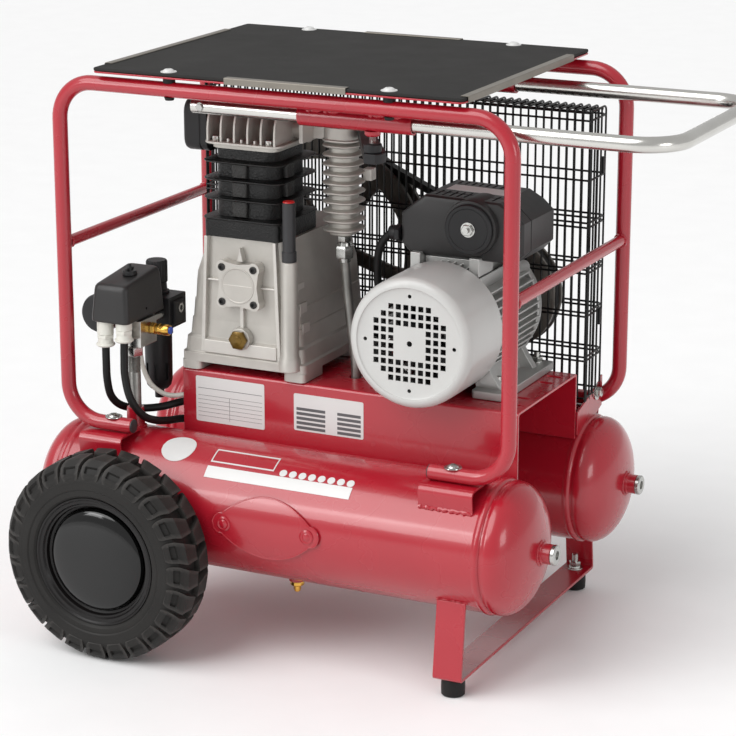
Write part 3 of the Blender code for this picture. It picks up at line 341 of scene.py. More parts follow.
def smooth_route(points, per_span=8):
    """A Catmull-Rom curve through the route's points."""
    ends = [Vector(points[0]) * 2 - Vector(points[1])] + [Vector(p) for p in points]
    ends.append(Vector(points[-1]) * 2 - Vector(points[-2]))
    path = []
    for a, b, c, d in zip(ends, ends[1:], ends[2:], ends[3:]):
        for index in range(per_span):
            t = index / per_span
            bend = (2 * a - 5 * b + 4 * c - d) * t ** 2 + (3 * b - a - 3 * c + d) * t ** 3
            path.append(0.5 * (2 * b + (c - a) * t + bend))
    path.append(Vector(points[-1]))
    return path


def arc(centre_a, centre_b, reach_a, reach_b, start, stop, steps):
    """Points of a round or oval arc, from one angle in degrees to the other."""
    angles = [math.radians(start + (stop - start) * index / steps) for index in range(steps + 1)]
    return [(centre_a + reach_a * math.cos(angle), centre_b + reach_b * math.sin(angle))
        for angle in angles]


def swung(shape, angle, axis, at):
    """Turn a shape about an axis through the origin, then carry it to its place."""
    bmesh.ops.rotate(shape, verts=shape.verts, cent=(0, 0, 0), matrix=Matrix.Rotation(angle, 3, axis))
    return place(shape, at)


def hexagon(across, height, at=(0, 0, 0), axis="Z"):
    """A bolt head or nut with chamfered corners."""
    corner = across / 2 / math.cos(math.radians(30))
    lip = height * 0.12
    return turned([(0, corner * 0.94), (lip, corner), (height - lip, corner), (height, corner * 0.9)], 6,
        at, axis)


def socket_bolt(radius, height, at, axis):
    """A round head with a six-sided recess."""
    return turned([(0, radius), (height * 0.75, radius), (height, radius * 0.85), (height, radius * 0.5),
            (height * 0.35, radius * 0.45)], 24, at, axis)


def dome_bolt(radius, at, axis):
    """A low dished washer and a domed head with a recess."""
    return merge(turned([(0, radius), (0.001, radius * 0.97), (0.0012, 0)], 32, at, axis),
        turned([(0.0005, radius * 0.74), (0.0022, radius * 0.66), (0.0036, radius * 0.44),
                (0.0038, radius * 0.28), (0.0022, radius * 0.26)], 32, at, axis))


def piece(name, shape, finish, body="chassis", stands_for=(), bevel=0.0, segments=2, angle=35):
    """Turn a shape into a named piece that rides on a body and stands for the CAD nodes given, if any."""
    bmesh.ops.remove_doubles(shape, verts=shape.verts, dist=0.000001)
    bmesh.ops.recalc_face_normals(shape, faces=shape.faces)
    mesh = bpy.data.meshes.new(name)
    shape.to_mesh(mesh)
    shape.free()
    mesh.shade_smooth()
    mesh.set_sharp_from_angle(angle=math.radians(angle))
    item = bpy.data.objects.new(name, mesh)
    bpy.context.scene.collection.objects.link(item)
    item.location = ORIGIN
    mesh.materials.append(LOOKS[finish])
    if bevel:
        modifier = item.modifiers.new("edges", "BEVEL")
        modifier.width = bevel
        modifier.segments = segments
        modifier.limit_method = "ANGLE"
        modifier.angle_limit = math.radians(angle)
        modifier.harden_normals = True
    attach(item, body)
    if stands_for:
        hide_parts(*stands_for)
    return item


def cut(item, shape):
    """Take a shape out of a piece and keep the result as its mesh."""
    mesh = bpy.data.meshes.new("cutter")
    bmesh.ops.recalc_face_normals(shape, faces=shape.faces)
    shape.to_mesh(mesh)
    shape.free()
    tool = bpy.data.objects.new("cutter", mesh)
    bpy.context.scene.collection.objects.link(tool)
    tool.location = ORIGIN
    modifier = item.modifiers.new("cut", "BOOLEAN")
    modifier.operation = "DIFFERENCE"
    modifier.solver = "EXACT"
    modifier.object = tool
    with bpy.context.temp_override(object=item, active_object=item):
        bpy.ops.object.modifier_move_to_index(modifier="cut", index=0)
        bpy.ops.object.modifier_apply(modifier="cut")
    bpy.data.objects.remove(tool)


# ---- tanks and running gear ---------------------------------------------------------------------

def tank_profile():
    """Outline from the left pole to the right one, with a rolled seam where a dome meets the barrel."""
    seam = [(0.003, -0.0002), (0.0045, -0.0012), (0.007, -0.0012), (0.008, 0.0006), (0.0105, 0.0016),
        (0.013, 0.0016), (0.0155, 0.0004), (0.017, 0.0)]
    profile = arc(TANK_LEFT, 0, DOME, TANK_R, 180, 90, 14)
    profile += [(TANK_LEFT + along, TANK_R + lift) for along, lift in seam]
    profile += [(TANK_RIGHT - along, TANK_R + lift) for along, lift in reversed(seam)]
    return profile + arc(TANK_RIGHT, 0, DOME, TANK_R, 90, 0, 14)


def make_tanks():
    for side, sign in SIDES:
        y = sign * TANK_Y
        shell = turned(tank_profile(), 96, (0, y, TANK_Z), "X")
        piece(f"{side}_tank_shell", shell, "red_enamel", stands_for=[f"{side}_tank"], angle=50)
        boss = turned([(0.306, 0.0135), (0.319, 0.0135), (0.3195, 0.0118), (0.3285, 0.0118),
                (0.329, 0.0105)], 32, (0, y, TANK_Z), "X")
        bead = swept(ring_path((0.3155, y, TANK_Z), "X", 0.014), 0.0016, 8, True, 0.25)
        piece(f"{side}_tank_port", merge(boss, bead), "red_enamel", bevel=0.0004)
        plug = turned([(0.329, 0.0112), (0.33, 0.012), (0.3335, 0.012), (0.3345, 0.0108),
                (0.3345, 0.0052), (0.331, 0.0048)], 32, (0, y, TANK_Z), "X")
        piece(f"{side}_tank_plug", plug, "bare_steel")
        bottom = TANK_Z - TANK_R
        drain = turned([(0.004, 0.006), (0.004, 0.0105), (-0.0062, 0.01), (-0.0062, 0.006)], 24,
            (0.0017, y, bottom), closed=True)
        weld = swept(ring_path((0.0017, y, bottom + 0.0004), "Z", 0.0108, 24), 0.0013, 8, True, 0.25)
        piece(f"{side}_drain_boss", merge(drain, weld), "red_enamel")
        screw = turned([(-0.0003, 0.0055), (-0.007, 0.0055), (-0.007, 0.0082), (-0.0085, 0.0086),
                (-0.0112, 0.0086), (-0.0125, 0.007), (-0.0135, 0.0046), (-0.017, 0.0046),
                (-0.02, 0.0036)], 12, (0.0017, y, bottom))
        piece(f"{side}_drain_valve", screw, "brass", f"{side}_drain", [f"{side}_drain_screw"], angle=20)
    make_hand_hole_plate()


def on_tank(x, degrees, lift, sign=-1):
    """A point on the outside of a tank, so many degrees above its middle."""
    angle = math.radians(degrees)
    reach = TANK_R + lift
    return (x, sign * (TANK_Y + reach * math.cos(angle)), TANK_Z + reach * math.sin(angle))


def tank_patch(outline_half, left, right, middle, lift, thickness, columns=48, rows=14, sign=-1):
    """A thin plate that follows the tank. outline_half(x) gives half its height, in degrees."""
    shape = bmesh.new()
    grids = []
    for height in (lift, lift - thickness):
        grid = []
        for i in range(columns + 1):
            x = left + (right - left) * i / columns
            half = outline_half(x)
            grid.append([shape.verts.new(on_tank(x, middle + half * (2 * j / rows - 1), height, sign))
                    for j in range(rows + 1)])
        grids.append(grid)
    for grid in grids:
        for i in range(columns):
            for j in range(rows):
                shape.faces.new((grid[i][j], grid[i + 1][j], grid[i + 1][j + 1], grid[i][j + 1]))
    top, base = grids
    for i in range(columns):
        for j in (0, rows):
            shape.faces.new((top[i][j], top[i + 1][j], base[i + 1][j], base[i][j]))
    for j in range(rows):
        for i in (0, columns):
            shape.faces.new((top[i][j], top[i][j + 1], base[i][j + 1], base[i][j]))
    return shape


def make_hand_hole_plate():
    half_length, half_height, end_r, end_x = 0.0695, 27.0, 0.012, 0.0575
    centre_x = 0.0017

    def half(x):
        offset = min(abs(x - centre_x), half_length)
        lens = half_height * (1 - (offset / half_length) ** 2)
        nose = 0.0
        if offset > end_x:
            nose = math.degrees(math.sqrt(max(0, end_r ** 2 - (offset - end_x) ** 2)) / TANK_R)
        return max(lens, nose, 0.6)

    plate = tank_patch(half, centre_x - half_length, centre_x + half_length, 3.0, 0.0032, 0.004, 72, 24)
    piece("hand_hole_plate", plate, "red_enamel", bevel=0.0008, angle=50)
    steps = 80
    edge = [(centre_x - half_length + 2 * half_length * k / steps) for k in range(steps + 1)]
    rim = [Vector(on_tank(x, 3.0 + half(x), 0.0026)) for x in edge]
    rim += [Vector(on_tank(x, 3.0 - half(x), 0.0026)) for x in reversed(edge[1:-1])]
    piece("hand_hole_rim", swept(rim, 0.0011, 8, True), "red_enamel")
    studs = []
    for x in (centre_x - 0.0545, centre_x + 0.0545):
        at = on_tank(x, 3.0, 0.0026)
        studs.append(turned([(0, 0.009), (0.0014, 0.0088), (0.0022, 0.007), (0.0018, 0.0052),
                    (0.0026, 0.004), (0.003, 0)], 28, at, "-Y"))
    piece("hand_hole_studs", merge(*studs), "red_enamel")


def make_wheel(side, sign):
    centre = (WHEEL_X, sign * WHEEL_Y, WHEEL_Z)
    half = [(0.0, 0.1176), (0.019, 0.1172), (0.028, 0.1135), (0.0325, 0.107), (0.0345, 0.101),
        (0.035, 0.0985), (0.0348, 0.0975), (0.035, 0.096), (0.035, 0.09), (0.0338, 0.0882),
        (0.0342, 0.0868), (0.0335, 0.082), (0.0318, 0.08), (0.03, 0.0786)]
    carcass = [(-a, r) for a, r in reversed(half[1:])] + half
    tyre = turned(carcass, 96, centre, "Y", closed=True)
    tyre = merge(tyre, *[place(make_lug(index, flip), centre, "Y") for index in range(24)
            for flip in (-1, 1)])
    body = f"{side}_wheel"
    piece(f"{side}_tyre_treaded", tyre, "tyre_rubber", body, [f"{side}_tyre"], angle=30)
    profile = [(-0.029, 0.01), (0.0262, 0.01), (0.0262, 0.017), (0.008, 0.019), (0.008, 0.061),
        (0.0205, 0.064), (0.0215, 0.0668), (0.0262, 0.068), (0.0268, 0.07), (0.0296, 0.0716),
        (0.03, 0.075), (0.0318, 0.0765), (0.0314, 0.0784), (-0.0314, 0.0784), (-0.0318, 0.0765),
        (-0.029, 0.073), (-0.0262, 0.069), (-0.005, 0.065), (-0.003, 0.062), (-0.003, 0.02),
        (-0.029, 0.0175)]
    rim = turned([(sign * a, r) for a, r in profile], 64, centre, "Y", closed=True)
    piece(f"{side}_rim_stepped", rim, "wheel_plastic", body, [f"{side}_rim"], angle=30)
    cap = [(0.0295, 0), (0.0225, 0.056), (0.02, 0.06), (0.02, 0.0622), (0.0222, 0.063), (0.024, 0.0618)]
    cap += arc(0.024, 0, 0.0095, 0.0618, 90, 0, 12)[1:]
    cap = turned([(sign * a, r) for a, r in cap], 64, centre, "Y")
    piece(f"{side}_hub_cap", cap, "hub_gloss", body)


def make_lug(index, flip):
    """One tread block: a strip from the shoulder to the crown, with a sunk pocket on its shoulder."""
    pitch = math.tau / 24
    start = pitch * (index + (0.5 if flip > 0 else 0.0))
    across = [-1.0, -0.64, -0.56, 0.56, 0.64, 1.0]
    places = [(0.0, 0.34, False), (0.6, 0.4, False), (1.12, 0.42, False), (1.2, 0.42, True),
        (1.74, 0.42, True), (1.82, 0.42, False), (2.3, 0.41, False), (3.0, 0.4, False),
        (4.0, 0.27, False)]
    rings = []
    for along, width, pocket in places:
        low = min(int(along), 3)
        share = along - low
        a = LUG_PROFILE[low][0] * (1 - share) + LUG_PROFILE[low + 1][0] * share
        r = LUG_PROFILE[low][1] * (1 - share) + LUG_PROFILE[low + 1][1] * share
        sweep = start + pitch * 0.3 * max(0, along - 1.5) / 2.5
        ring = []
        for u in across:
            sunk = 0.003 if pocket and abs(u) < 0.6 else 0.0
            angle = sweep + u * width * pitch
            ring.append((angle, a - sunk * 0.6, r - sunk * 0.8))
        for u in reversed(across):
            angle = sweep + u * width * pitch
            ring.append((angle, a * 0.86, r - 0.0085))
        rings.append([(r * math.cos(angle), r * math.sin(angle), flip * a) for angle, a, r in ring])
    return loft(rings)


def make_axles_and_leg():
    for side, sign in SIDES:
        y = sign * FOOT_Y
        top = GROUND + 0.0217
        foot = turned([(0, 0.0126), (0.0012, 0.0138), (0.01, 0.0141), (0.02, 0.0137), (0.0217, 0.0128)],
            40, (LEG_X, y, GROUND))
        piece(f"{side}_rubber_foot", foot, "black_rubber", stands_for=[f"{side}_foot"])
        floor = top + 0.0047
        fixing = merge(turned([(0, 0.0105), (0.0014, 0.0103)], 28, (LEG_X, y, floor)),
            turned([(0.0014, 0.0074), (0.0034, 0.007)], 28, (LEG_X, y, floor)),
            hexagon(0.0128, 0.006, (LEG_X, y, floor + 0.0034)),
            turned([(0.009, 0.0039), (0.0185, 0.0039), (0.0195, 0.003)], 20, (LEG_X, y, floor)))
        piece(f"{side}_foot_fixing", fixing, "bare_steel")
    outer = [(-0.1985, -0.144), (-0.2093, -0.2345), (-0.208, -0.2368), (-0.206, FOOT_TOP),
        (0.206, FOOT_TOP), (0.208, -0.2368), (0.2093, -0.2345), (0.1985, -0.144)]
    inner = [(0.1947, -0.1444), (0.2053, -0.233), (0.204, FOOT_TOP + 0.004), (-0.204, FOOT_TOP + 0.004),
        (-0.2053, -0.233), (-0.1947, -0.1444)]
    piece("leg_strap_bent", prism(outer + inner, LEG_X - 0.018, LEG_X + 0.018), "red_enamel",
        stands_for=["leg_strap"], bevel=0.0008)
    beads = []
    for sign in (-1, 1):
        path = [Vector((LEG_X - 0.019 + 0.038 * k / 16, sign * 0.1948,
                    -0.144 + 0.0012 * math.sin(k * 1.7))) for k in range(17)]
        beads.append(swept(path, 0.0026, 8, wobble=0.22))
    piece("leg_weld_beads", merge(*beads), "red_enamel")
    beads = []
    for sign in (-1, 1):
        for x in (WHEEL_X - 0.025, WHEEL_X + 0.025):
            path = [Vector(on_tank(x, -50 + 44 * k / 14, 0.0006, sign)) for k in range(15)]
            beads.append(swept(path, 0.0022, 8, wobble=0.22))
    piece("axle_weld_beads", merge(*beads), "red_enamel")


# ---- cage, roof and handle ----------------------------------------------------------------------

def make_cage():
    for side, sign in SIDES:
        y = sign * CAGE_Y
        corners = [(-0.199, y, 0), (-CAGE_X, y, 0), (-CAGE_X, y, CAGE_TOP), (CAGE_X, y, CAGE_TOP),
            (CAGE_X, y, 0), (0.192, y, 0)]
        hoop = swept(bent_path(corners, CAGE_BEND, 14), TUBE, 32)
        piece(f"{side}_cage_hoop", hoop, "red_enamel", stands_for=[f"{side}_cage_tube"], bevel=0.0008)
        ends = [turned([(0, 0.0084), (0.001, 0.0084), (0.0016, 0.0072)], 28, (-0.199, y, 0), "X"),
            turned([(0, 0.0084), (0.001, 0.0084), (0.0016, 0.0072)], 28, (0.192, y, 0), "-X")]
        piece(f"{side}_tube_plugs", merge(*ends), "tube_grey")
        bolts = [dome_bolt(0.0105, (x, y, TUBE - 0.0004), "Z") for x in (-0.2258, 0.2207)]
        piece(f"{side}_cage_bolts", merge(*bolts), "bare_steel")
        for end, low, high in (("left", -0.262, -0.204), ("right", 0.187, 0.254)):
            make_saddle(f"{side}_{end}_cage_bracket", sign, low, high)
    for name, x, z in (("left", -CAGE_X, 0.2163), ("right", CAGE_X, 0.206)):
        reach = CAGE_Y - TUBE - 0.0003
        bar = swept([(x, -reach, z), (x, reach, z)], 0.007, 24)
        beads = [swept(ring_path((x, s * reach, z), "Y", 0.0072, 28), 0.0017, 8, True, 0.22)
            for s in (-1, 1)]
        piece(f"{name}_cross_bar", merge(bar, *beads), "red_enamel", stands_for=[f"{name}_cross_tube"])


def make_saddle(node, sign, low, high):
    """Bent sheet under a tube end, with a rounded nose and a weld along its foot."""
    bend_y, bend_z, outer_r, inner_r = 0.1895, -0.0184, 0.0088, 0.0058
    outline = [(0.15, -0.0096), (bend_y, -0.0096)] + arc(bend_y, bend_z, outer_r, outer_r, 90, -10, 6)
    outline += [(0.1955, -0.036), (0.1925, -0.0352)] + arc(bend_y, bend_z, inner_r, inner_r, -10, 90, 6)
    outline.append((0.15, -0.0126))
    shape = prism([(sign * y, z) for y, z in outline], low, high)
    piece(f"{node}_bent", shape, "red_enamel", stands_for=[node], bevel=0.0005, angle=50)
    path = [Vector((low + (high - low) * k / 24, sign * 0.1946, -0.0362 + 0.0008 * math.sin(k * 2.1)))
        for k in range(25)]
    piece(f"{node}_weld", swept(path, 0.0026, 8, wobble=0.25), "red_enamel")


def make_roof():
    sheet = loft([rounded_ring(0, 0, 0.2345, 0.189, 0.008, z) for z in (0.4265, 0.4285)])
    piece("roof_tray", sheet, "red_enamel", stands_for=["roof_sheet"], bevel=0.0005)
    mat = loft([rounded_ring(0, 0, 0.2337, 0.188, 0.004, z) for z in (0.4288, 0.4326)])
    piece("roof_rubber", mat, "mat_rubber", stands_for=["roof_mat"], bevel=0.0012, segments=3)
    strips = []
    for low, high, edge, axis, sign in ((-0.158, 0.13, 0.2337, "Y", -1), (-0.176, 0.134, 0.2337, "Y", 1),
            (-0.06, 0.093, 0.188, "X", -1), (-0.064, 0.067, 0.188, "X", 1)):
        section = [(edge - 0.008, 0.4328), (edge - 0.0078, 0.4338), (edge + 0.001, 0.4338),
            (edge + 0.0018, 0.433), (edge + 0.0018, 0.4262), (edge - 0.008, 0.4254),
            (edge - 0.008, 0.4262), (edge + 0.001, 0.427), (edge + 0.0008, 0.433)]
        section = [(sign * a, z) for a, z in section]
        strips.append(prism(section, low, high, axis))
    piece("mat_edge_clips", merge(*strips), "clip_metal", bevel=0.0003)
    bolts, spacers = [], []
    for x in (-0.139, 0.14):
        for sign in (-1, 1):
            bolts.append(dome_bolt(0.0095, (x, sign * 0.176, 0.4324), "Z"))
            spacers.append(turned([(0, 0.0072), (0.0062, 0.0072)], 24,
                    (x, sign * CAGE_Y, CAGE_TOP + 0.008)))
            spacers.append(turned([(0, 0.0062), (0.0035, 0.005), (0.004, 0)], 20,
                    (x, sign * CAGE_Y, CAGE_TOP - 0.0086), "-Z"))
    piece("roof_bolts", merge(*bolts), "label_white")
    piece("roof_spacers", merge(*spacers), "black_rubber")


def make_handle():
    corners = [(-0.1236, -HANDLE_Y, HANDLE_Z), (0.459, -HANDLE_Y, HANDLE_Z), (0.459, HANDLE_Y, HANDLE_Z),
        (-0.1236, HANDLE_Y, HANDLE_Z)]
    bar = swept(bent_path(corners, 0.05, 20), TUBE, 32)
    piece("pull_handle_bar", bar, "handle_metal", "pull_handle", ["handle"], bevel=0.0006)
    stops = [merge(hexagon(0.0082, 0.003, (-0.1105, sign * (HANDLE_Y + TUBE - 0.0006), HANDLE_Z),
                "Y" if sign > 0 else "-Y"), turned([(0, 0.0052), (0.001, 0.0052)], 20,
                (-0.1105, sign * (HANDLE_Y + TUBE - 0.001), HANDLE_Z), "Y" if sign > 0 else "-Y"))
        for sign in (-1, 1)]
    piece("handle_stop_bolts", merge(*stops), "bare_steel", "pull_handle")
    for side, sign in SIDES:
        profile = [(0.0155, 0.0097), (0.0155, 0.012), (0.1576, 0.012), (0.1576, 0.0097)]
        sleeve = turned(profile, 40, (0, sign * HANDLE_Y, HANDLE_Z), "X", closed=True)
        piece(f"{side}_guide_sleeve", sleeve, "red_enamel", stands_for=[f"{side}_handle_guide"],
            bevel=0.0006)
        tabs = []
        for x in (0.04, 0.062, 0.118, 0.14):
            path = [Vector((x - 0.008 + 0.016 * k / 8, sign * (0.1618 + 0.0006 * math.sin(k * 2)),
                        0.402)) for k in range(9)]
            tabs.append(swept(path, 0.0036, 10, wobble=0.2))
        piece(f"{side}_guide_welds", merge(*tabs), "red_enamel")


# ---- belt guard ---------------------------------------------------------------------------------

GUARD_LEFT, GUARD_RIGHT, GUARD_LOW, GUARD_HIGH = -0.2548, 0.2668, 0.0132, 0.3708
FRONT_Y, BACK_Y, JOIN_Y = 0.1138, 0.1626, 0.1172
WIRE_R = 0.0013
ROWS = [0.36, 0.288, 0.2364, 0.2306, 0.179, 0.174, 0.1257, 0.1208, 0.07, 0.065, 0.018]


def grille_columns():
    count = 52
    return [GUARD_LEFT + (GUARD_RIGHT - GUARD_LEFT) * k / count for k in range(count + 1)]


def column_spans(x):
    """The stretches of an upright front wire, left open round the crankshaft and the motor shaft."""
    for centre, height, reach in ((PUMP_X, CRANK_Z, 0.017), (MOTOR_X, MOTOR_Z, 0.014)):
        if abs(x - centre) < reach:
            return [(GUARD_LOW, height - reach - 0.003), (height + reach + 0.003, GUARD_HIGH)]
    return [(GUARD_LOW, GUARD_HIGH)]


def row_spans(z):
    """The stretches of a level front wire, left open round the two shafts."""
    cuts = sorted((centre - reach, centre + reach) for centre, height, reach in ((PUMP_X, CRANK_Z, 0.019),
            (MOTOR_X, MOTOR_Z, 0.016)) if abs(z - height) < reach)
    spans, start = [], GUARD_LEFT
    for low, high in cuts:
        spans.append((start, low))
        start = high
    spans.append((start, GUARD_RIGHT))
    return spans


def make_guard():
    front = []
    for x in grille_columns():
        front += [rod((x, FRONT_Y, low), (x, FRONT_Y, high), WIRE_R, 8) for low, high in column_spans(x)]
    for z in ROWS:
        front += [rod((low, FRONT_Y - 2 * WIRE_R, z), (high, FRONT_Y - 2 * WIRE_R, z), WIRE_R, 8)
            for low, high in row_spans(z)]
    piece("guard_front_wires", merge(*front), "black_wire", stands_for=["front_guard_grille"])
    rear = []
    for x in grille_columns():
        corners = [(x, BACK_Y, GUARD_LOW), (x, BACK_Y, GUARD_HIGH), (x, JOIN_Y, GUARD_HIGH)]
        rear.append(swept(bent_path(corners, 0.006, 3), WIRE_R, 8))
    for z in ROWS:
        corners = [(GUARD_LEFT, JOIN_Y, z), (GUARD_LEFT, BACK_Y + 2 * WIRE_R, z),
            (GUARD_RIGHT, BACK_Y + 2 * WIRE_R, z), (GUARD_RIGHT, JOIN_Y, z)]
        rear.append(swept(bent_path(corners, 0.008, 3), WIRE_R, 8))
    for x in (GUARD_LEFT, GUARD_RIGHT):
        for k in range(4):
            y = JOIN_Y + 0.0105 * k
            rear.append(rod((x, y, GUARD_LOW), (x, y, GUARD_HIGH), WIRE_R, 8))
    for y in (JOIN_Y, 0.14, 0.153):
        rear.append(rod((GUARD_LEFT, y, GUARD_HIGH - 2 * WIRE_R),
                (GUARD_RIGHT, y, GUARD_HIGH - 2 * WIRE_R), WIRE_R, 8))
    piece("guard_rear_wires", merge(*rear), "black_wire", stands_for=["rear_guard_basket"])
    clips = [block((GUARD_RIGHT - 0.002, 0.15, z - 0.01), (GUARD_RIGHT + 0.0035, 0.158, z + 0.01))
        for z in (0.112, 0.3)]
    clips += [block((GUARD_LEFT - 0.0035, 0.15, z - 0.01), (GUARD_LEFT + 0.002, 0.158, z + 0.01))
        for z in (0.112, 0.3)]
    piece("guard_clips", merge(*clips), "black_plastic", bevel=0.0012)
    outline = [(0.09, -0.023), (0.11, -0.026), (0.172, -0.006), (0.172, 0.033), (0.164, 0.033),
        (0.164, 0.027), (0.09, 0.006)]
    for name, x in (("right", 0.265), ("left", -0.179)):
        shape = prism(outline, x, x + 0.0025)
        piece(f"{name}_guard_bracket", shape, "red_enamel", bevel=0.0006)
    at = (0.2674, 0.153, 0.016)
    fixing = merge(turned([(0, 0.0105), (0.0014, 0.0103)], 32, at, "X"),
        hexagon(0.011, 0.0055, (at[0] + 0.0014, at[1], at[2]), "X"))
    piece("guard_bracket_bolt", fixing, "bare_steel")


# ---- pump ---------------------------------------------------------------------------------------

def case_ring(half, front, back, z, corner=0.01):
    return rounded_ring(PUMP_X, (front + back) / 2, half, (back - front) / 2, corner, z)


def make_crankcase():
    levels = [(0.084, -0.095, 0.09, 0.066), (0.084, -0.095, 0.09, 0.0765),
        (0.0815, -0.0925, 0.089, 0.0785), (0.08, -0.0915, 0.0885, 0.095), (0.077, -0.088, 0.088, 0.0975),
        (0.075, -0.087, 0.088, 0.118), (0.0735, -0.087, 0.088, 0.119), (0.0715, -0.0865, 0.088, 0.142),
        (0.07, -0.0865, 0.088, 0.143), (0.0685, -0.0865, 0.088, 0.165), (0.067, -0.0865, 0.088, 0.176),
        (0.06, -0.0865, 0.0875, 0.195), (0.0555, -0.0865, 0.0875, 0.206),
        (0.0545, -0.0865, 0.0875, 0.223)]
    rings = [case_ring(*level) for level in levels]
    case = piece("crankcase_casting", loft(rings), "cast_alloy", stands_for=["crankcase"], bevel=0.0009,
        angle=30)
    cut(case, merge(turned([(0.1, 0.0385), (0.23, 0.0385)], 40, (PUMP_X, CYLINDER_Y, 0)),
            block((PUMP_X - 0.045, -0.078, 0.09), (PUMP_X + 0.045, 0.072, 0.18))))
    cut(case, turned([(0.06, 0.0165), (0.1, 0.0165)], 32, (PUMP_X, 0, CRANK_Z), "Y"))
    feet = []
    for x_low, x_high in ((-0.084, -0.0575), (0.0547, 0.084)):
        for y_low, y_high in ((-0.095, -0.0415), (0.036, 0.09)):
            corners = rounded_ring(PUMP_X + (x_low + x_high) / 2, (y_low + y_high) / 2,
                (x_high - x_low) / 2, (y_high - y_low) / 2, 0.007, 0.0553)
            feet.append(loft([corners, [(x, y, 0.0668) for x, y, _ in corners]]))
    boss = turned([(0.07, 0.0135), (0.085, 0.0128), (0.088, 0.0112), (0.203, 0.0098)], 32,
        (BREATHER_X, BREATHER_Y + 0.006, 0))
    nose = turned([(0.0863, 0.0165), (0.107, 0.0165), (0.108, 0.025), (0.1, 0.0262), (0.0863, 0.032)], 40,
        (PUMP_X, 0, CRANK_Z), "Y", closed=True)
    piece("crankcase_feet", merge(*feet, boss, nose), "cast_alloy", bevel=0.001, angle=30)
    ribs = []
    for top_x, foot_x in ((-0.048, -0.0545), (0.044, 0.049)):
        outline = [(PUMP_X + top_x - 0.0022, 0.2228), (PUMP_X + top_x + 0.0022, 0.2228),
            (PUMP_X + foot_x + 0.0026, 0.079), (PUMP_X + foot_x - 0.0026, 0.079)]
        ribs.append(prism(outline, -0.093, -0.085, "Y"))
    ribs.append(prism([(-0.0985, 0.196), (-0.0945, 0.213), (-0.0905, 0.196)], -0.095, -0.085, "Y"))
    ribs.append(block((-0.097, -0.092, 0.108), (-0.0922, -0.085, 0.14)))
    ribs.append(block((-0.142, -0.0905, 0.168), (-0.12, -0.085, 0.1705)))
    ribs.append(block((-0.07, -0.0905, 0.164), (-0.0495, -0.085, 0.1665)))
    for step in range(3):
        low = 0.0985 + 0.024 * step
        ribs.append(block((-0.0225 - 0.0035 * step - 0.004, -0.08, low), (-0.018 - 0.0035 * step, -0.062,
                    low + 0.026)))
    ribs.append(prism([(PUMP_X - 0.052, 0.079), (PUMP_X + 0.0465, 0.079), (PUMP_X + 0.0465, 0.095),
                (PUMP_X - 0.052, 0.095)], -0.0945, -0.088, "Y"))
    piece("crankcase_ribs", merge(*ribs), "cast_alloy", bevel=0.0008, angle=30)
    make_bearing_cover()
    glass = hexagon(0.021, 0.005, (-0.0955, -0.0975, 0.1006), "-Y")
    seat = turned([(0, 0.0145), (0.0085, 0.0135), (0.009, 0.012)], 32, (-0.0955, -0.088, 0.1006), "-Y")
    piece("sight_glass_seat", seat, "cast_alloy", bevel=0.0006)
    lens = turned([(0.0045, 0.006), (0.0055, 0.0058), (0.0062, 0.003), (0.0064, 0)], 24,
        (-0.0955, -0.0975, 0.1006), "-Y")
    piece("sight_glass", merge(glass, lens), "sight_amber")


def make_bearing_cover():
    """A square cover with round ears, a raised disc and four sunk bolts."""
    x, z = -0.0946, CRANK_Z
    outline = []
    for corner in range(4):
        base = 45 + 90 * corner
        ear_x, ear_z = arc(x, z, 0.03, 0.03, base, base, 1)[0]
        outline += arc(ear_x, ear_z, 0.008, 0.008, base - 80, base + 80, 8)
        side = math.radians(base + 45)
        outline.append((x + 0.0255 * math.cos(side), z + 0.0255 * math.sin(side)))
    plate = prism(outline, -0.101, -0.0868, "Y")
    disc = turned([(-0.001, 0.0228), (0.0012, 0.0222), (0.0012, 0.0205), (0.0008, 0.02)], 48,
        (x, -0.1005, z), "-Y")
    bar = block((x - 0.019, -0.1016, z - 0.0003), (x + 0.019, -0.1008, z + 0.0003))
    piece("bearing_cover_cast", merge(plate, disc, bar), "cast_alloy", stands_for=["bearing_cover"],
        bevel=0.001, angle=30)
    bolts = []
    for corner in range(4):
        base = math.radians(45 + 90 * corner)
        at = (x + 0.03 * math.cos(base), -0.1004, z + 0.03 * math.sin(base))
        bolts.append(socket_bolt(0.0046, 0.0022, at, "-Y"))
    piece("bearing_cover_bolts", merge(*bolts), "black_iron")


def bore_ring(half, corner, z):
    """A square ring with round corners about the cylinder's axis."""
    return rounded_ring(PUMP_X, CYLINDER_Y, half, half, corner, z)


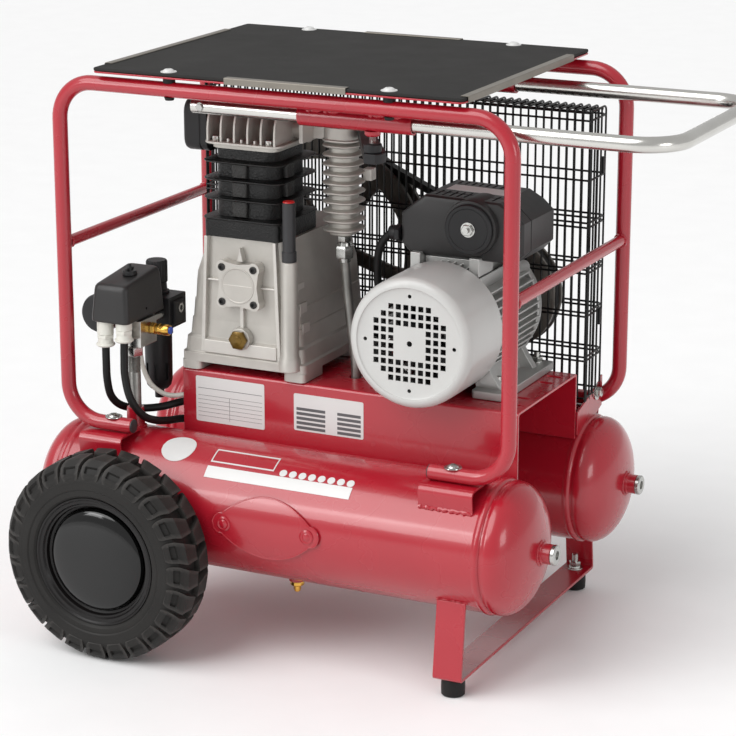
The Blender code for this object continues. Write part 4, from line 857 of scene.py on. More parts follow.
def make_cylinder():
    levels = [(0.0505, 0.006, 0.2233), (0.0505, 0.006, 0.244), (0.0535, 0.012, 0.245),
        (0.0535, 0.014, 0.2466), (0.0425, 0.018, 0.248)]
    rings = [bore_ring(*level) for level in levels]
    for z in (0.2685, 0.2915, 0.313):
        rings += [bore_ring(half, corner, z + rise) for half, corner, rise in ((0.042, 0.017, -0.002),
                (0.052, 0.016, 0.0), (0.0535, 0.016, 0.0008), (0.0535, 0.016, 0.002),
                (0.052, 0.016, 0.0026), (0.042, 0.017, 0.004))]
    rings += [bore_ring(0.041, 0.014, 0.324), bore_ring(0.041, 0.012, 0.329)]
    count = len(rings[0])
    bore = [(PUMP_X + 0.033 * math.cos(math.tau * k / count),
            CYLINDER_Y + 0.033 * math.sin(math.tau * k / count)) for k in range(count)]
    rings += [[(x, y, 0.329) for x, y in bore], [(x, y, 0.2233) for x, y in bore]]
    lugs = []
    for z_low, z_high in ((0.249, 0.2672), (0.273, 0.29), (0.296, 0.3118)):
        lugs.append(loft([rounded_ring(PUMP_X - 0.004, CYLINDER_Y - 0.043, 0.01, 0.0045, 0.003, z, 3)
                    for z in (z_low, z_high)]))
        lugs.append(loft([rounded_ring(PUMP_X + 0.043, CYLINDER_Y - 0.012, 0.0045, 0.01, 0.003, z, 3)
                    for z in (z_low, z_high)]))
    piece("cylinder_finned", merge(loft(rings, ring_closed=True), *lugs), "black_iron",
        stands_for=["cylinder_block"], bevel=0.0004, angle=40)


def fin_outline(front, back, low, high, curve):
    """Side view of a head fin: square foot, quarter-round front and back."""
    rise = (high - low) * 0.75
    outline = [(front, low)] + arc(front + curve, high - rise, curve, rise, 180, 90, 8)
    return outline + arc(back - curve, high - rise, curve, rise, 90, 0, 8) + [(back, low)]


def make_head():
    levels = [(0.044, 0.012, 0.3293), (0.0445, 0.012, 0.3345), (0.052, 0.016, 0.3352),
        (0.052, 0.016, 0.338), (0.047, 0.014, 0.3384)]
    parts = [loft([bore_ring(*level) for level in levels])]
    for index in range(6):
        x = PUMP_X - 0.0445 + index * 0.0178
        parts.append(prism(fin_outline(CYLINDER_Y - 0.049, CYLINDER_Y + 0.049, 0.3375, 0.3765, 0.014),
                x - 0.0014, x + 0.0014))
        if index < 5:
            stud = rounded_ring(x + 0.0089, CYLINDER_Y - 0.046, 0.0014, 0.002, 0.0008, 0.3375, 2)
            parts.append(loft([stud, [(a, b, 0.3425) for a, b, _ in stud]]))
    parts.append(block((PUMP_X - 0.04, CYLINDER_Y - 0.014, 0.3375), (PUMP_X + 0.04, CYLINDER_Y + 0.034,
                0.356)))
    parts.append(turned([(0.03, 0.011), (0.06, 0.011), (0.06, 0.0145), (0.064, 0.0145)], 32,
            (PUMP_X, CYLINDER_Y + 0.006, 0.35), "X"))
    parts.append(block((PUMP_X + 0.06, CYLINDER_Y - 0.016, 0.3375), (PUMP_X + 0.065, CYLINDER_Y + 0.03,
                0.365)))
    piece("head_finned", merge(*parts), "cast_alloy", stands_for=["cylinder_head"], bevel=0.0007,
        angle=30)
    bolts = [hexagon(0.012, 0.006, (PUMP_X + sx * 0.0355, CYLINDER_Y + sy * 0.04, 0.338))
        for sx in (-1, 1) for sy in (-1, 1)]
    piece("head_bolts", merge(*bolts), "bare_steel")
    left = PUMP_X - 0.0515 - 0.0003
    rings = [(0.028, 0.027, left - 0.032), (0.03, 0.029, left - 0.0305), (0.031, 0.03, left - 0.027),
        (0.031, 0.03, left - 0.01), (0.0302, 0.0292, left - 0.0095), (0.0302, 0.0292, left - 0.008),
        (0.031, 0.03, left - 0.0075), (0.031, 0.03, left)]
    rings = [[(x, y, z) for z, y, x in rounded_ring(0.352, -0.05, high, wide, 0.013, x)]
        for high, wide, x in rings]
    piece("intake_filter_box", loft(rings), "black_plastic", stands_for=["intake_filter"], bevel=0.0006,
        angle=40)


def cooler_ring(half_x, half_y, corner, z):
    return rounded_ring(COOLER_X, COOLER_Y, half_x, half_y, corner, z)


def make_cooler():
    core, edge, fin = (0.0158, 0.0178, 0.0128), (0.0222, 0.0242, 0.0176), (0.023, 0.025, 0.018)
    rings = [cooler_ring(*core, 0.2265)]
    for index in range(10):
        z = 0.231 + index * 0.0113
        rings += [cooler_ring(*section, z + rise) for section, rise in ((core, -0.0018), (edge, 0),
                (fin, 0.0008), (fin, 0.002), (edge, 0.0028), (core, 0.0046))]
    top = [(0.0225, 0.0245, 0.016, 0.3395), (0.0225, 0.0245, 0.016, 0.3415),
        (0.0205, 0.0225, 0.014, 0.342), (0.0205, 0.0225, 0.014, 0.356)]
    rings += [cooler_ring(*level) for level in top]
    bridge = block((PUMP_X + 0.0645, COOLER_Y - 0.01, 0.3395), (COOLER_X - 0.015, COOLER_Y + 0.013,
            0.357))
    lug = [block((COOLER_X + 0.02, COOLER_Y + 0.01, z), (COOLER_X + 0.031, COOLER_Y + 0.023, z + 0.014))
        for z in (0.29, 0.32)]
    piece("aftercooler_finned", merge(loft(rings), bridge, *lug), "cast_alloy",
        stands_for=["aftercooler"], bevel=0.0004, angle=35)
    route = [(0.012, -0.03, 0.225), (0.0125, -0.0305, 0.205), (0.017, -0.033, 0.165),
        (0.0245, -0.0362, 0.115), (0.03, -0.037, 0.08), (0.031, -0.037, 0.055), (0.031, -0.0375, 0.02),
        (0.031, -0.048, -0.01), (0.031, -0.067, -0.043)]
    piece("delivery_pipe_bent", swept(smooth_route(route), 0.0059, 20), "pipe_grey",
        stands_for=["delivery_pipe"])
    nuts = merge(hexagon(0.02, 0.015, (0.0124, -0.0304, 0.199)),
        turned([(0.015, 0.0085), (0.0185, 0.0078)], 24, (0.0124, -0.0304, 0.199)),
        hexagon(0.015, 0.0075, (0.0122, -0.0302, 0.2188)),
        turned([(-0.0055, 0), (-0.005, 0.0072), (0, 0.008)], 24, (0.0124, -0.0304, 0.199)))
    piece("delivery_pipe_nuts", nuts, "bare_steel")
    tube = turned([(0.2034, 0.0088), (0.215, 0.0088), (0.216, 0.0078), (0.2735, 0.0078), (0.2745, 0.007)],
        28, (BREATHER_X, BREATHER_Y + 0.006, 0))
    piece("breather_pipe", tube, "tube_grey", stands_for=["breather_tube"])
    cap = turned([(0.2744, 0.0072), (0.2756, 0.0066), (0.2758, 0)], 28, (BREATHER_X, BREATHER_Y + 0.006,
            0))
    piece("breather_cap", cap, "cap_red")
    make_buffer()


def make_buffer():
    """A rubber buffer under the front handle guide, with the flat arm that steadies the aftercooler."""
    x, y = 0.106, -HANDLE_Y
    rubber = turned([(0.355, 0.0092), (0.3562, 0.0106), (0.3645, 0.0106), (0.366, 0.0092)], 32, (x, y, 0))
    arm = prism([(COOLER_X + 0.0235, COOLER_Y - 0.01), (x - 0.005, y - 0.0125), (x + 0.009, y - 0.0125),
            (x + 0.013, y - 0.006), (x + 0.013, y + 0.008), (COOLER_X + 0.03, COOLER_Y + 0.012),
            (COOLER_X + 0.0235, COOLER_Y + 0.012)], 0.344, 0.3555, "Z")
    piece("buffer_rubber", merge(rubber, arm), "black_plastic", bevel=0.0008)
    thread = [(0.365, 0)]
    for k in range(8):
        thread += [(0.365 + 0.0013 * k, 0.0034), (0.3656 + 0.0013 * k, 0.0039)]
    stud = turned(thread + [(0.3756, 0.0034), (0.3756, 0)], 20, (x, y, 0))
    piece("buffer_stud", stud, "bare_steel")
    lug_top = HANDLE_Z - 0.011
    lug = turned([(0.3745, 0.008), (0.376, 0.0092), (lug_top, 0.0092)], 28, (x, y, 0))
    piece("buffer_lug", lug, "red_enamel")


# ---- motor --------------------------------------------------------------------------------------

def make_motor():
    body = turned([(-0.047, 0.056), (-0.047, 0.064), (0.079, 0.064), (0.079, 0.056)], 64,
        (MOTOR_X, 0, MOTOR_Z), "Y", closed=True)
    parts = [body]
    for index in range(-6, 7):
        offset = index * 0.0088
        reach = math.sqrt(max(0, 0.0745 ** 2 - offset ** 2))
        inner = math.sqrt(max(0, 0.06 ** 2 - offset ** 2))
        for sign in (-1, 1):
            low, high = sorted((MOTOR_X + sign * inner, MOTOR_X + sign * reach))
            if abs(offset) < 0.052:
                parts.append(block((low, -0.045, MOTOR_Z + offset - 0.0011),
                        (high, 0.074, MOTOR_Z + offset + 0.0011)))
            if abs(offset) < 0.05:
                low, high = sorted((MOTOR_Z + sign * inner, MOTOR_Z + sign * reach))
                parts.append(block((MOTOR_X + offset - 0.0011, -0.045, low),
                        (MOTOR_X + offset + 0.0011, 0.074, high)))
    shield = turned([(0.077, 0.0105), (0.077, 0.07), (0.079, 0.0712), (0.087, 0.0712), (0.0905, 0.069),
            (0.0925, 0.064), (0.0935, 0.042), (0.096, 0.039), (0.0975, 0.025), (0.103, 0.0235),
            (0.104, 0.022), (0.104, 0.0105)], 64, (MOTOR_X, 0, MOTOR_Z), "Y", closed=True)
    parts.append(shield)
    for angle in (45, 135, 225, 315):
        x = MOTOR_X + 0.066 * math.cos(math.radians(angle))
        z = MOTOR_Z + 0.066 * math.sin(math.radians(angle))
        parts.append(turned([(0.056, 0.0075), (0.089, 0.0075), (0.0905, 0.0062)], 20, (x, 0, z), "Y"))
    piece("motor_body_finned", merge(*parts), "motor_silver", stands_for=["motor_housing"], bevel=0.0005,
        angle=35)
    feet = []
    for sign in (-1, 1):
        plate = rounded_ring(MOTOR_X + sign * 0.064, 0.019, 0.021, 0.079, 0.005, 0.0553, 4)
        feet.append(loft([plate, [(x, y, 0.065) for x, y, _ in plate]]))
        web = [(MOTOR_X + sign * 0.05, 0.064), (MOTOR_X + sign * 0.075, 0.064),
            (MOTOR_X + sign * 0.064, 0.08), (MOTOR_X + sign * 0.05, 0.105), (MOTOR_X + sign * 0.04, 0.09)]
        feet.append(prism(web, -0.044, -0.033, "Y"))
        feet.append(prism(web, 0.056, 0.068, "Y"))
        slope = [(MOTOR_X + sign * 0.042, 0.064), (MOTOR_X + sign * 0.058, 0.064),
            (MOTOR_X + sign * 0.047, 0.092), (MOTOR_X + sign * 0.038, 0.092)]
        feet.append(prism(slope, -0.043, 0.07, "Y"))
    pad = block((0.118, -0.03, 0.198), (0.178, 0.06, 0.213))
    ears = [block((x, -0.042, 0.196), (x + 0.013, 0.0, 0.218)) for x in (0.104, 0.179)]
    piece("motor_feet", merge(*feet, pad, *ears), "motor_silver", bevel=0.001, angle=35)
    bolts = []
    for sign in (-1, 1):
        for y in (-0.031, 0.088):
            at = (MOTOR_X + sign * 0.0655, y, 0.065)
            bolts.append(turned([(0, 0.0085), (0.0014, 0.0083)], 28, at))
            bolts.append(hexagon(0.013, 0.0052, (at[0], at[1], at[2] + 0.0014)))
            bolts.append(turned([(0.006, 0.0038), (0.012, 0.0036)], 16, at))
    piece("motor_foot_bolts", merge(*bolts), "bare_steel")
    make_fan_cover()
    make_terminal_box()


def make_fan_cover():
    profile = [(-0.1376, 0), (-0.1376, 0.064), (-0.1384, 0.0655), (-0.1399, 0.0664)]
    profile += arc(-0.13, 0.0672, 0.01, 0.01, 180, 90, 8)
    profile += [(-0.12, 0.0775), (-0.052, 0.0775), (-0.048, 0.0775), (-0.0478, 0.076), (-0.129, 0.0758),
        (-0.135, 0.07), (-0.1364, 0.064), (-0.1364, 0)]
    cover = piece("fan_cover_pressed", turned(profile, 72, (MOTOR_X, 0, MOTOR_Z), "Y"), "grey_enamel",
        stands_for=["fan_cover"], angle=30)
    pitch, half = 0.0094, 0.0033
    counts = [6, 8, 10, 10, 10, 10, 10, 10, 8, 6]
    holes = []
    for row, count in enumerate(counts):
        z = MOTOR_Z + (4.5 - row) * pitch
        for column in range(count):
            offset = column - (count - 1) / 2
            if 3 <= row <= 6 and abs(offset) < 2:
                continue
            x = MOTOR_X + offset * pitch
            holes.append(block((x - half, -0.145, z - half), (x + half, -0.13, z + half)))
    for x, z, radius in ((0, 0, 0.0034), (-0.056, 0, 0.0024), (0.056, 0, 0.0024), (0, 0.056, 0.0024),
            (0, -0.056, 0.0024)):
        holes.append(turned([(-0.145, radius), (-0.13, radius)], 16, (MOTOR_X + x, 0, MOTOR_Z + z), "Y"))
    cut(cover, merge(*holes))


def make_terminal_box():

    def outline(inset):
        points = [(0.1, 0.2135), (0.231, 0.2135), (0.243, 0.226), (0.243, 0.262), (0.23, 0.274),
            (0.212, 0.284), (0.118, 0.286), (0.103, 0.274), (0.088, 0.262), (0.088, 0.226)]
        centre_x, centre_z = 0.1655, 0.25
        return [(centre_x + (x - centre_x) * (1 - inset / 0.0775),
                centre_z + (z - centre_z) * (1 - inset / 0.037)) for x, z in points]

    rings = []
    for y, inset in ((-0.035, 0.006), (-0.0335, 0.002), (-0.03, 0.0), (-0.01, 0.0), (-0.0095, 0.001),
            (-0.008, 0.001), (-0.0075, 0.0), (0.06, 0.0), (0.0635, 0.002), (0.065, 0.006)):
        rings.append([(x, y, z) for x, z in outline(inset)])
    box = piece("terminal_box_shell", loft(rings), "box_charcoal", stands_for=["terminal_box"],
        bevel=0.0016, segments=3, angle=25)
    slots = [block((0.118 + 0.009 * k, near, 0.281), (0.1206 + 0.009 * k, far, 0.29))
        for near, far in ((-0.025, 0.001), (0.04, 0.056)) for k in range(10)]
    cut(box, merge(*slots))
    strip = [(0.128, 0.2856), (0.206, 0.2839), (0.206, 0.2846), (0.128, 0.2862)]
    piece("terminal_box_sticker", prism(strip, 0.007, 0.034, "Y"), "label_white")
    hood = [(-0.034, 0), (-0.034, 0.0335), (0.009, 0.0335), (0.0125, 0.0325), (0.013, 0.0305), (0.013, 0)]
    piece("capacitor_hood", turned(hood, 56, (0.18, -0.03, 0.253), "-Y"), "box_charcoal")
    cap = [(0, 0), (0, 0.0295), (0.017, 0.0295), (0.0184, 0.0284), (0.0184, 0.025), (0.0176, 0.024),
        (0.0176, 0)]
    cap = turned(cap, 56, (0.18, -0.03, 0.253), "-Y")
    piece("capacitor_cap", cap, "black_plastic")
    nut = merge(hexagon(0.0125, 0.005, (0.18, -0.0474, 0.253), "-Y"),
        turned([(0, 0.009), (0.0012, 0.0088)], 28, (0.18, -0.0474, 0.253), "-Y"),
        turned([(0.005, 0.0036), (0.0085, 0.0034)], 20, (0.18, -0.0474, 0.253), "-Y"))
    piece("capacitor_nut", nut, "bare_steel")
    gland = merge(hexagon(0.019, 0.006, (0.0815, -0.03, 0.2362), "X"),
        turned([(-0.009, 0.0049), (-0.009, 0.0075), (-0.007, 0.0088), (0.0, 0.009), (0.0, 0.0049)], 24,
            (0.0815, -0.03, 0.2362), "X", closed=True))
    piece("motor_cable_gland", gland, "black_plastic")


def make_platform():
    inner = PLATFORM_Y - 0.003
    low, high = -0.0275, PLATFORM_TOP
    outline = [(-PLATFORM_Y, low), (-inner, low), (-inner, high - 0.005), (-inner + 0.002, high - 0.003),
        (inner - 0.002, high - 0.003), (inner, high - 0.005), (inner, low), (PLATFORM_Y, low)]
    bend = 0.004
    for sign, start in ((1, 0), (-1, 90)):
        outline += arc(sign * (PLATFORM_Y - bend), high - bend, bend, bend, start, start + 90, 6)
    base = piece("platform_channel", prism(outline, PLATFORM_LEFT, PLATFORM_RIGHT), "red_enamel",
        stands_for=["platform"], bevel=0.0005, angle=40)
    holes = [turned([(0.04, 0.0085), (0.07, 0.0085)], 28, (0.031, -0.037, 0)),
        turned([(0.04, 0.009), (0.07, 0.009)], 28, (0.0558, -0.0105, 0))]
    for y in (-0.06, -0.032, 0.039, 0.067):
        slot = rounded_ring(0.245, y, 0.0095, 0.003, 0.0029, 0.04, 4)
        holes.append(loft([slot, [(a, b, 0.07) for a, b, _ in slot]]))
    cut(base, merge(*holes))


# ---- switch group -------------------------------------------------------------------------------

def make_switch_group():
    socket = turned([(-0.013, 0.0112), (0.0118, 0.0105), (0.0123, 0.0098)], 32, (RISER_X, RISER_Y, 0))
    weld = swept(ring_path((RISER_X, RISER_Y, -0.0122), "Z", 0.0118, 30), 0.0022, 8, True, 0.2)
    piece("riser_socket", merge(socket, weld), "red_enamel")
    profile = [(0.012, 0), (0.012, 0.0075), (0.056, 0.0075)]
    for k in range(11):
        z = 0.057 + 0.0018 * k
        profile += [(z, 0.0068), (z + 0.0009, 0.0076)]
    pipe = turned(profile + [(0.079, 0.0072), (0.079, 0)], 28, (RISER_X, RISER_Y, 0))
    piece("riser_pipe", pipe, "pipe_grey", stands_for=["switch_manifold"])
    manifold = merge(hexagon(0.021, 0.0115, (RISER_X, RISER_Y, 0.0775)),
        block((RISER_X - 0.008, RISER_Y - 0.008, 0.089), (RISER_X + 0.0146, RISER_Y + 0.03, 0.1218)),
        turned([(0.028, 0.006), (0.06, 0.006)], 20, (RISER_X + 0.0033, RISER_Y, 0.114), "Y"),
        hexagon(0.015, 0.007, (RISER_X + 0.0033, RISER_Y + 0.03, 0.114), "Y"))
    piece("manifold_cast", manifold, "bare_steel", bevel=0.001)
    make_switch()
    valve_at = (RISER_X + 0.0146, -0.12, 0.108)
    valve = merge(hexagon(0.013, 0.0055, (valve_at[0] + 0.0005, valve_at[1], valve_at[2]), "X"),
        turned([(0.005, 0.0052), (0.0075, 0.0052), (0.0085, 0.0066), (0.012, 0.0068), (0.0125, 0.0062),
                (0.017, 0.0062), (0.0175, 0.0068), (0.024, 0.0068), (0.0255, 0.006)], 32, valve_at, "X"))
    piece("safety_valve_turned", valve, "brass", stands_for=["safety_valve"])
    piece("safety_valve_cap", turned([(0.025, 0.0048), (0.027, 0.0044)], 24, valve_at, "X"), "cap_blue")
    make_regulator()
    make_gauge()


def make_switch():
    levels = [(0.024, 0.043, 0.1218), (0.0256, 0.0446, 0.1228), (0.026, 0.045, 0.1245),
        (0.0257, 0.0447, 0.13), (0.0232, 0.0418, 0.169), (0.0226, 0.041, 0.1735),
        (0.0213, 0.0396, 0.1763), (0.0195, 0.0378, 0.1776), (0.017, 0.035, 0.1782)]
    rings = []
    for half_x, half_y, z in levels:
        ring = rounded_ring(-0.2325, -0.125, half_x, half_y, 0.0062, z)
        rings.append([(x, y, height - 0.12 * (-0.08 - y) * max(0, (height - 0.13) / 0.048))
                for x, y, height in ring])
    cover = piece("pressure_switch_hood", loft(rings), "box_charcoal",
        stands_for=["pressure_switch_cover"], bevel=0.0006, angle=50)
    cut(cover, turned([(0, 0.0016), (0.012, 0.0016)], 16, (-0.211, -0.124, 0.133), "X"))
    knob_at = (-0.229, -0.125, 0.173)
    knob = merge(turned([(0, 0.0092), (0.0048, 0.0088), (0.0052, 0.008)], 32, knob_at),
        block((knob_at[0] - 0.0016, knob_at[1] - 0.0078, knob_at[2] + 0.0045),
            (knob_at[0] + 0.0016, knob_at[1] + 0.0078, knob_at[2] + 0.0082)),
        turned([(0.0045, 0.0034), (0.0125, 0.0022), (0.0135, 0.0014)], 16, knob_at))
    piece("switch_lever", knob, "black_plastic", "switch_knob", ["pressure_switch_knob"], bevel=0.0006)
    glands = []
    for x, low in ((-0.2455, 0.09), (-0.2195, 0.098)):
        at = (x, -0.157, low)
        glands.append(turned([(0.0, 0.005), (0.0, 0.0098), (0.0018, 0.0116), (0.0035, 0.0112),
                    (0.0042, 0.0095), (0.011, 0.0092), (0.011, 0.005)], 32, at, closed=True))
        glands.append(hexagon(0.019, 0.005, (x, -0.157, low + 0.01)))
        glands.append(turned([(0.015, 0.01), (0.1222 - low, 0.01)], 28, at))
    piece("cable_glands", merge(*glands), "white_plastic", bevel=0.0004)
    fitting = merge(hexagon(0.01, 0.005, (-0.234, -0.1, 0.117)),
        turned([(-0.012, 0.0033), (-0.012, 0.0046), (0.0, 0.005), (0.0, 0.0033)], 20,
            (-0.234, -0.1, 0.117), closed=True))
    piece("unloader_fitting", fitting, "brass")
    collar = turned([(-0.0165, 0.0033), (-0.0165, 0.0052), (-0.012, 0.005), (-0.012, 0.0033)], 24,
        (-0.234, -0.1, 0.117), closed=True)
    piece("unloader_collar", collar, "collar_orange")


def make_regulator():
    body = merge(block((-0.25, -0.077, 0.095), (-0.203, -0.036, 0.1345)),
        block((-0.254, -0.07, 0.1), (-0.199, -0.043, 0.129)))
    ring = turned([(0, 0.003), (0, 0.006), (0.001, 0.006), (0.001, 0.003)], 28, (-0.199, -0.0565, 0.119),
        "X", closed=True)
    piece("regulator_block", body, "black_plastic", stands_for=["regulator_body"], bevel=0.0012)
    piece("regulator_port_ring", ring, "bare_steel")
    neck = turned([(0.133, 0.015), (0.1375, 0.015), (0.1385, 0.0125), (0.1476, 0.0118)], 36,
        (REGULATOR_X, REGULATOR_Y, 0))
    piece("regulator_neck", neck, "black_plastic")
    outline_low, outline_high = 0.1484, 0.176
    rings = []
    for z, scale in ((outline_low, 0.96), (outline_low + 0.001, 1.0), (outline_high - 0.002, 1.0),
            (outline_high, 0.9)):
        ring = []
        for k in range(96):
            radius = (0.0132 if k % 4 < 2 else 0.0126) * scale
            angle = math.tau * k / 96
            ring.append((REGULATOR_X + radius * math.cos(angle), REGULATOR_Y + radius * math.sin(angle),
                    z))
        rings.append(ring)
    piece("regulator_knob_ribbed", loft(rings), "black_plastic", "regulator_dial", ["regulator_knob"])
    bowl = turned([(0.0947, 0.0185), (0.083, 0.0185), (0.0822, 0.0172), (0.024, 0.0168), (0.017, 0.015),
            (0.013, 0.0115), (0.013, 0.006), (0.0007, 0.0056)], 48, (REGULATOR_X, REGULATOR_Y, 0))
    bowl = piece("filter_bowl_slotted", bowl, "black_plastic", stands_for=["filter_bowl"])
    slots = []
    for k in range(8):
        slot = block((0.0145, -0.0022, 0.026), (0.02, 0.0022, 0.047))
        slots.append(swung(slot, math.tau * (k + 0.4) / 8, "Z", (REGULATOR_X, REGULATOR_Y, 0)))
    cut(bowl, merge(*slots))
    core = turned([(0.024, 0.0126), (0.0262, 0.0143), (0.047, 0.0143), (0.049, 0.0126)], 32,
        (REGULATOR_X, REGULATOR_Y, 0))
    piece("filter_bowl_glass", core, "pipe_grey")


def make_gauge():
    at = (GAUGE_X, GAUGE_Y, GAUGE_Z)
    case = turned([(-0.013, 0.019), (-0.0115, 0.0228), (-0.008, 0.0245), (0.0105, 0.0247),
            (0.0125, 0.024), (0.013, 0.0225), (0.0115, 0.0215), (0.0072, 0.0212)], 64, at, "Y")
    stem = merge(turned([(0.023, 0.006), (0.0545, 0.006)], 24, at, "X"),
        hexagon(0.014, 0.008, (GAUGE_X + 0.033, GAUGE_Y, GAUGE_Z), "X"))
    piece("gauge_case", case, "black_plastic", stands_for=["pressure_gauge"])
    piece("gauge_stem", stem, "brass")
    face = turned([(0.007, 0.0211), (0.0081, 0.0211), (0.0081, 0.0205), (0.0078, 0.0202)], 48, at, "Y")
    piece("gauge_face", face, "label_white")
    ticks = []
    for k in range(28):
        angle = math.radians(-45 + 270 * k / 27)
        long = 0.0042 if k % 3 == 0 else 0.0024
        tick = block((-0.0003, 0.0077, 0.0195 - long), (0.0003, 0.008, 0.0195))
        ticks.append(swung(tick, angle - math.pi / 2, "Y", at))
    piece("gauge_ticks", merge(*ticks), "label_grey")


def make_leads():
    for name, route, radius, finish in (("power_cable", POWER_ROUTE, LEAD_R, "black_rubber"),
            ("motor_cable", MOTOR_ROUTE, LEAD_R, "black_rubber"), ("unloader_tube", UNLOADER_ROUTE,
                UNLOADER_R, "white_plastic")):
        piece(f"{name}_run", swept(smooth_route(route), radius, 16), finish, stands_for=[name])


# ---- plain plates in place of the printed labels ------------------------------------------------

def disc_patch(centre, radius, middle, columns, rows):
    """A round sticker on the front tank."""

    def half(x):
        return max(0.1, math.degrees(math.sqrt(max(0.0, radius ** 2 - (x - centre) ** 2)) / TANK_R))

    return tank_patch(half, centre - radius, centre + radius, middle, LABEL_LIFT, LABEL_THICK, columns,
        rows)


def plate_bar(left, right, low, high):
    """A thin grey bar on the face of a data plate."""
    return block((left, -PLATFORM_Y - 0.0005, low), (right, -PLATFORM_Y - 0.0003, high))


def flat_plate(name, low_x, high_x, low_z, high_z, finish, lift=0.0004, corner=0.002):
    ring = rounded_ring((low_x + high_x) / 2, (low_z + high_z) / 2, (high_x - low_x) / 2,
        (high_z - low_z) / 2, corner, 0, 3)
    shape = loft([[(x, -PLATFORM_Y + depth, z) for x, z, _ in ring] for depth in (0.0, -lift)])
    piece(name, shape, finish)


def make_labels():
    flat_plate("data_plate_left", -0.159, -0.065, -0.01, 0.047, "label_white")
    flat_plate("data_plate_right", -0.025, 0.0675, -0.004, 0.042, "label_white")
    lines = []
    for row in range(6):
        z = 0.023 - row * 0.0052
        lines.append(plate_bar(-0.156, -0.068, z, z + 0.0004))
    lines.append(plate_bar(-0.113, -0.1126, -0.006, 0.0234))
    lines.append(plate_bar(-0.156, -0.068, 0.032, 0.0326))
    for row in range(5):
        z = 0.0215 - row * 0.0058
        lines.append(plate_bar(-0.0215, 0.017, z, z + 0.0036))
        lines.append(plate_bar(0.033, 0.064, z, z + 0.0036))
    piece("data_plate_tables", merge(*lines), "label_grey")
    strip = tank_patch(lambda x: 5.6, -0.09, 0.1, 45.5, LABEL_LIFT, LABEL_THICK, 40, 8)
    piece("tank_strip_label", strip, "label_white")
    frame_label = []
    for low, high, middle, half in ((-0.089, -0.005, 70.5, 0.7), (-0.089, -0.005, 56.0, 0.7),
            (-0.089, -0.0876, 63.2, 7.8), (-0.0064, -0.005, 63.2, 7.8)):
        frame_label.append(tank_patch(lambda x, h=half: h, low, high, middle, LABEL_LIFT, LABEL_THICK, 16,
                6))
    for k in range(8):
        frame_label.append(disc_patch(0.008 + 0.0125 * k, 0.0048, 55.0, 14, 6))
    piece("tank_frame_label", merge(*frame_label), "label_white")
    sticker = disc_patch(-0.139, 0.0215, 65.5, 40, 12)
    piece("tank_round_sticker", sticker, "label_white")
    yellow = tank_patch(lambda x: 12.0, -0.22, -0.185, 118.0, LABEL_LIFT, LABEL_THICK, 10, 10, sign=1)
    piece("rear_tank_label", yellow, "label_yellow")


# ---- inner pieces, floor, light and camera ------------------------------------------------------

def make_drive():
    """Smooth rims for the two wheels of the belt drive."""
    rim = [(-0.015, 0.112), (-0.015, 0.137), (-0.014, 0.138), (-0.008, 0.138), (-0.0062, 0.1255),
        (0.0062, 0.1255), (0.008, 0.138), (0.014, 0.138), (0.015, 0.137), (0.015, 0.112)]
    parts = [turned(rim, 96, (PUMP_X, DRIVE_Y, CRANK_Z), "Y", closed=True)]
    hub = [(-0.018, 0.013), (-0.018, 0.025), (0.018, 0.025), (0.018, 0.013)]
    parts.append(turned(hub, 48, (PUMP_X, DRIVE_Y, CRANK_Z), "Y", closed=True))
    for index in range(5):
        rings = []
        for reach, half_y, half_z in ((0.022, 0.0075, 0.013), (0.04, 0.006, 0.0095),
                (0.09, 0.0055, 0.0095), (0.115, 0.007, 0.014)):
            rings.append([(reach, y, z) for z, y, _ in rounded_ring(0, 0, half_z, half_y, half_y * 0.8, 0,
                        3)])
        parts.append(swung(loft(rings), math.radians(18 + 72 * index), "Y", (PUMP_X, DRIVE_Y, CRANK_Z)))
    piece("flywheel_cast", merge(*parts), "raw_iron", "crank", ["flywheel"], bevel=0.0006, angle=30)
    washer = turned([(0.157, 0.0115), (0.158, 0.0122), (0.1584, 0.0116), (0.1584, 0.0064),
            (0.1582, 0.0056)], 28, (PUMP_X, 0, CRANK_Z), "Y")
    piece("flywheel_washer", washer, "bare_steel", "crank")
    pulley = [(-0.013, 0.01), (-0.013, 0.07), (-0.012, 0.072), (-0.008, 0.072), (-0.006, 0.0595),
        (0.006, 0.0595), (0.008, 0.072), (0.012, 0.072), (0.013, 0.07), (0.013, 0.056), (0.006, 0.052),
        (0.006, 0.024), (0.013, 0.022), (0.013, 0.01)]
    pulley = turned(pulley, 72, (MOTOR_X, DRIVE_Y, MOTOR_Z), "Y", closed=True)
    piece("motor_pulley_turned", pulley, "raw_iron", "rotor", ["motor_pulley"], angle=30)


def dress_cad_nodes():
    slots = {part["node"]: part["material_slot"] for part in frame["record"]["subparts"]}
    for name, node in frame["nodes"].items():
        node.data.materials.clear()
        node.data.materials.append(LOOKS[slots[name]])


def make_stage():
    mesh = bmesh.new()
    bmesh.ops.create_grid(mesh, x_segments=2, y_segments=2, size=60)
    data = bpy.data.meshes.new("floor")
    mesh.to_mesh(data)
    mesh.free()
    floor = bpy.data.objects.new("floor", data)
    floor.location = (0, 0, -0.0005)
    data.materials.append(look("floor_paint", (0.93, 0.93, 0.93), 0.01, 0.6, 0.05, grain=20,
            depth=0.00002))
    bpy.context.scene.collection.objects.link(floor)


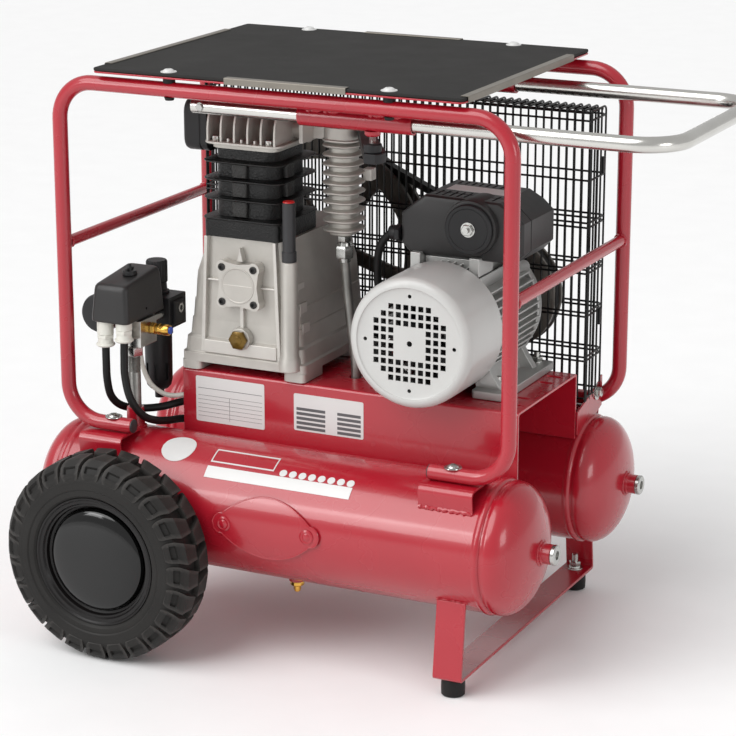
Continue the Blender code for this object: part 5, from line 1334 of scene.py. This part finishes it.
def add_light(name, location, target, size, power):
    data = bpy.data.lights.new(name, "AREA")
    data.shape = "SQUARE"
    data.size = size
    data.energy = power
    lamp = bpy.data.objects.new(name, data)
    lamp.location = location
    lamp.rotation_euler = (Vector(target) - Vector(location)).to_track_quat("-Z", "Y").to_euler()
    bpy.context.scene.collection.objects.link(lamp)


def make_light():
    world = bpy.data.worlds.new("studio")
    world.use_nodes = True
    world.node_tree.nodes["Background"].inputs["Color"].default_value = (1, 1, 1, 1)
    world.node_tree.nodes["Background"].inputs["Strength"].default_value = 0.6
    bpy.context.scene.world = world
    key = bpy.data.lights.new("key", "SUN")
    key.energy = 1.9
    key.angle = math.radians(50)
    lamp = bpy.data.objects.new("key", key)
    lamp.rotation_euler = Vector((1.0, 1.5, -2.1)).to_track_quat("-Z", "Y").to_euler()
    bpy.context.scene.collection.objects.link(lamp)
    middle = (0, 0, 0.35)
    add_light("left_softbox", (-1.6, -2.4, 1.3), middle, 0.9, 14)
    add_light("right_softbox", (2.4, -1.0, 1.0), middle, 0.8, 8)


CAMERA_PLACE = (1.2835, -2.724, 1.1923)
CAMERA_AZIMUTH, CAMERA_ELEVATION = 25.895, 16.147
CAMERA_LENS = 126.98


def make_camera():
    data = bpy.data.cameras.new("camera")
    data.sensor_width = 36.0
    data.lens = CAMERA_LENS
    camera = bpy.data.objects.new("camera", data)
    azimuth, elevation = math.radians(CAMERA_AZIMUTH), math.radians(CAMERA_ELEVATION)
    ahead = Vector((-math.sin(azimuth) * math.cos(elevation), math.cos(azimuth) * math.cos(elevation),
            -math.sin(elevation)))
    camera.location = CAMERA_PLACE
    camera.rotation_euler = ahead.to_track_quat("-Z", "Y").to_euler()
    bpy.context.scene.collection.objects.link(camera)
    bpy.context.scene.camera = camera


def main():
    make_looks()
    dress_cad_nodes()
    make_tanks()
    for side, sign in SIDES:
        make_wheel(side, sign)
    make_axles_and_leg()
    make_cage()
    make_roof()
    make_handle()
    make_guard()
    make_platform()
    make_crankcase()
    make_cylinder()
    make_head()
    make_cooler()
    make_motor()
    make_drive()
    make_switch_group()
    make_leads()
    make_labels()
    make_stage()
    make_light()
    make_camera()
    bpy.context.scene.view_settings.view_transform = "Standard"


main()
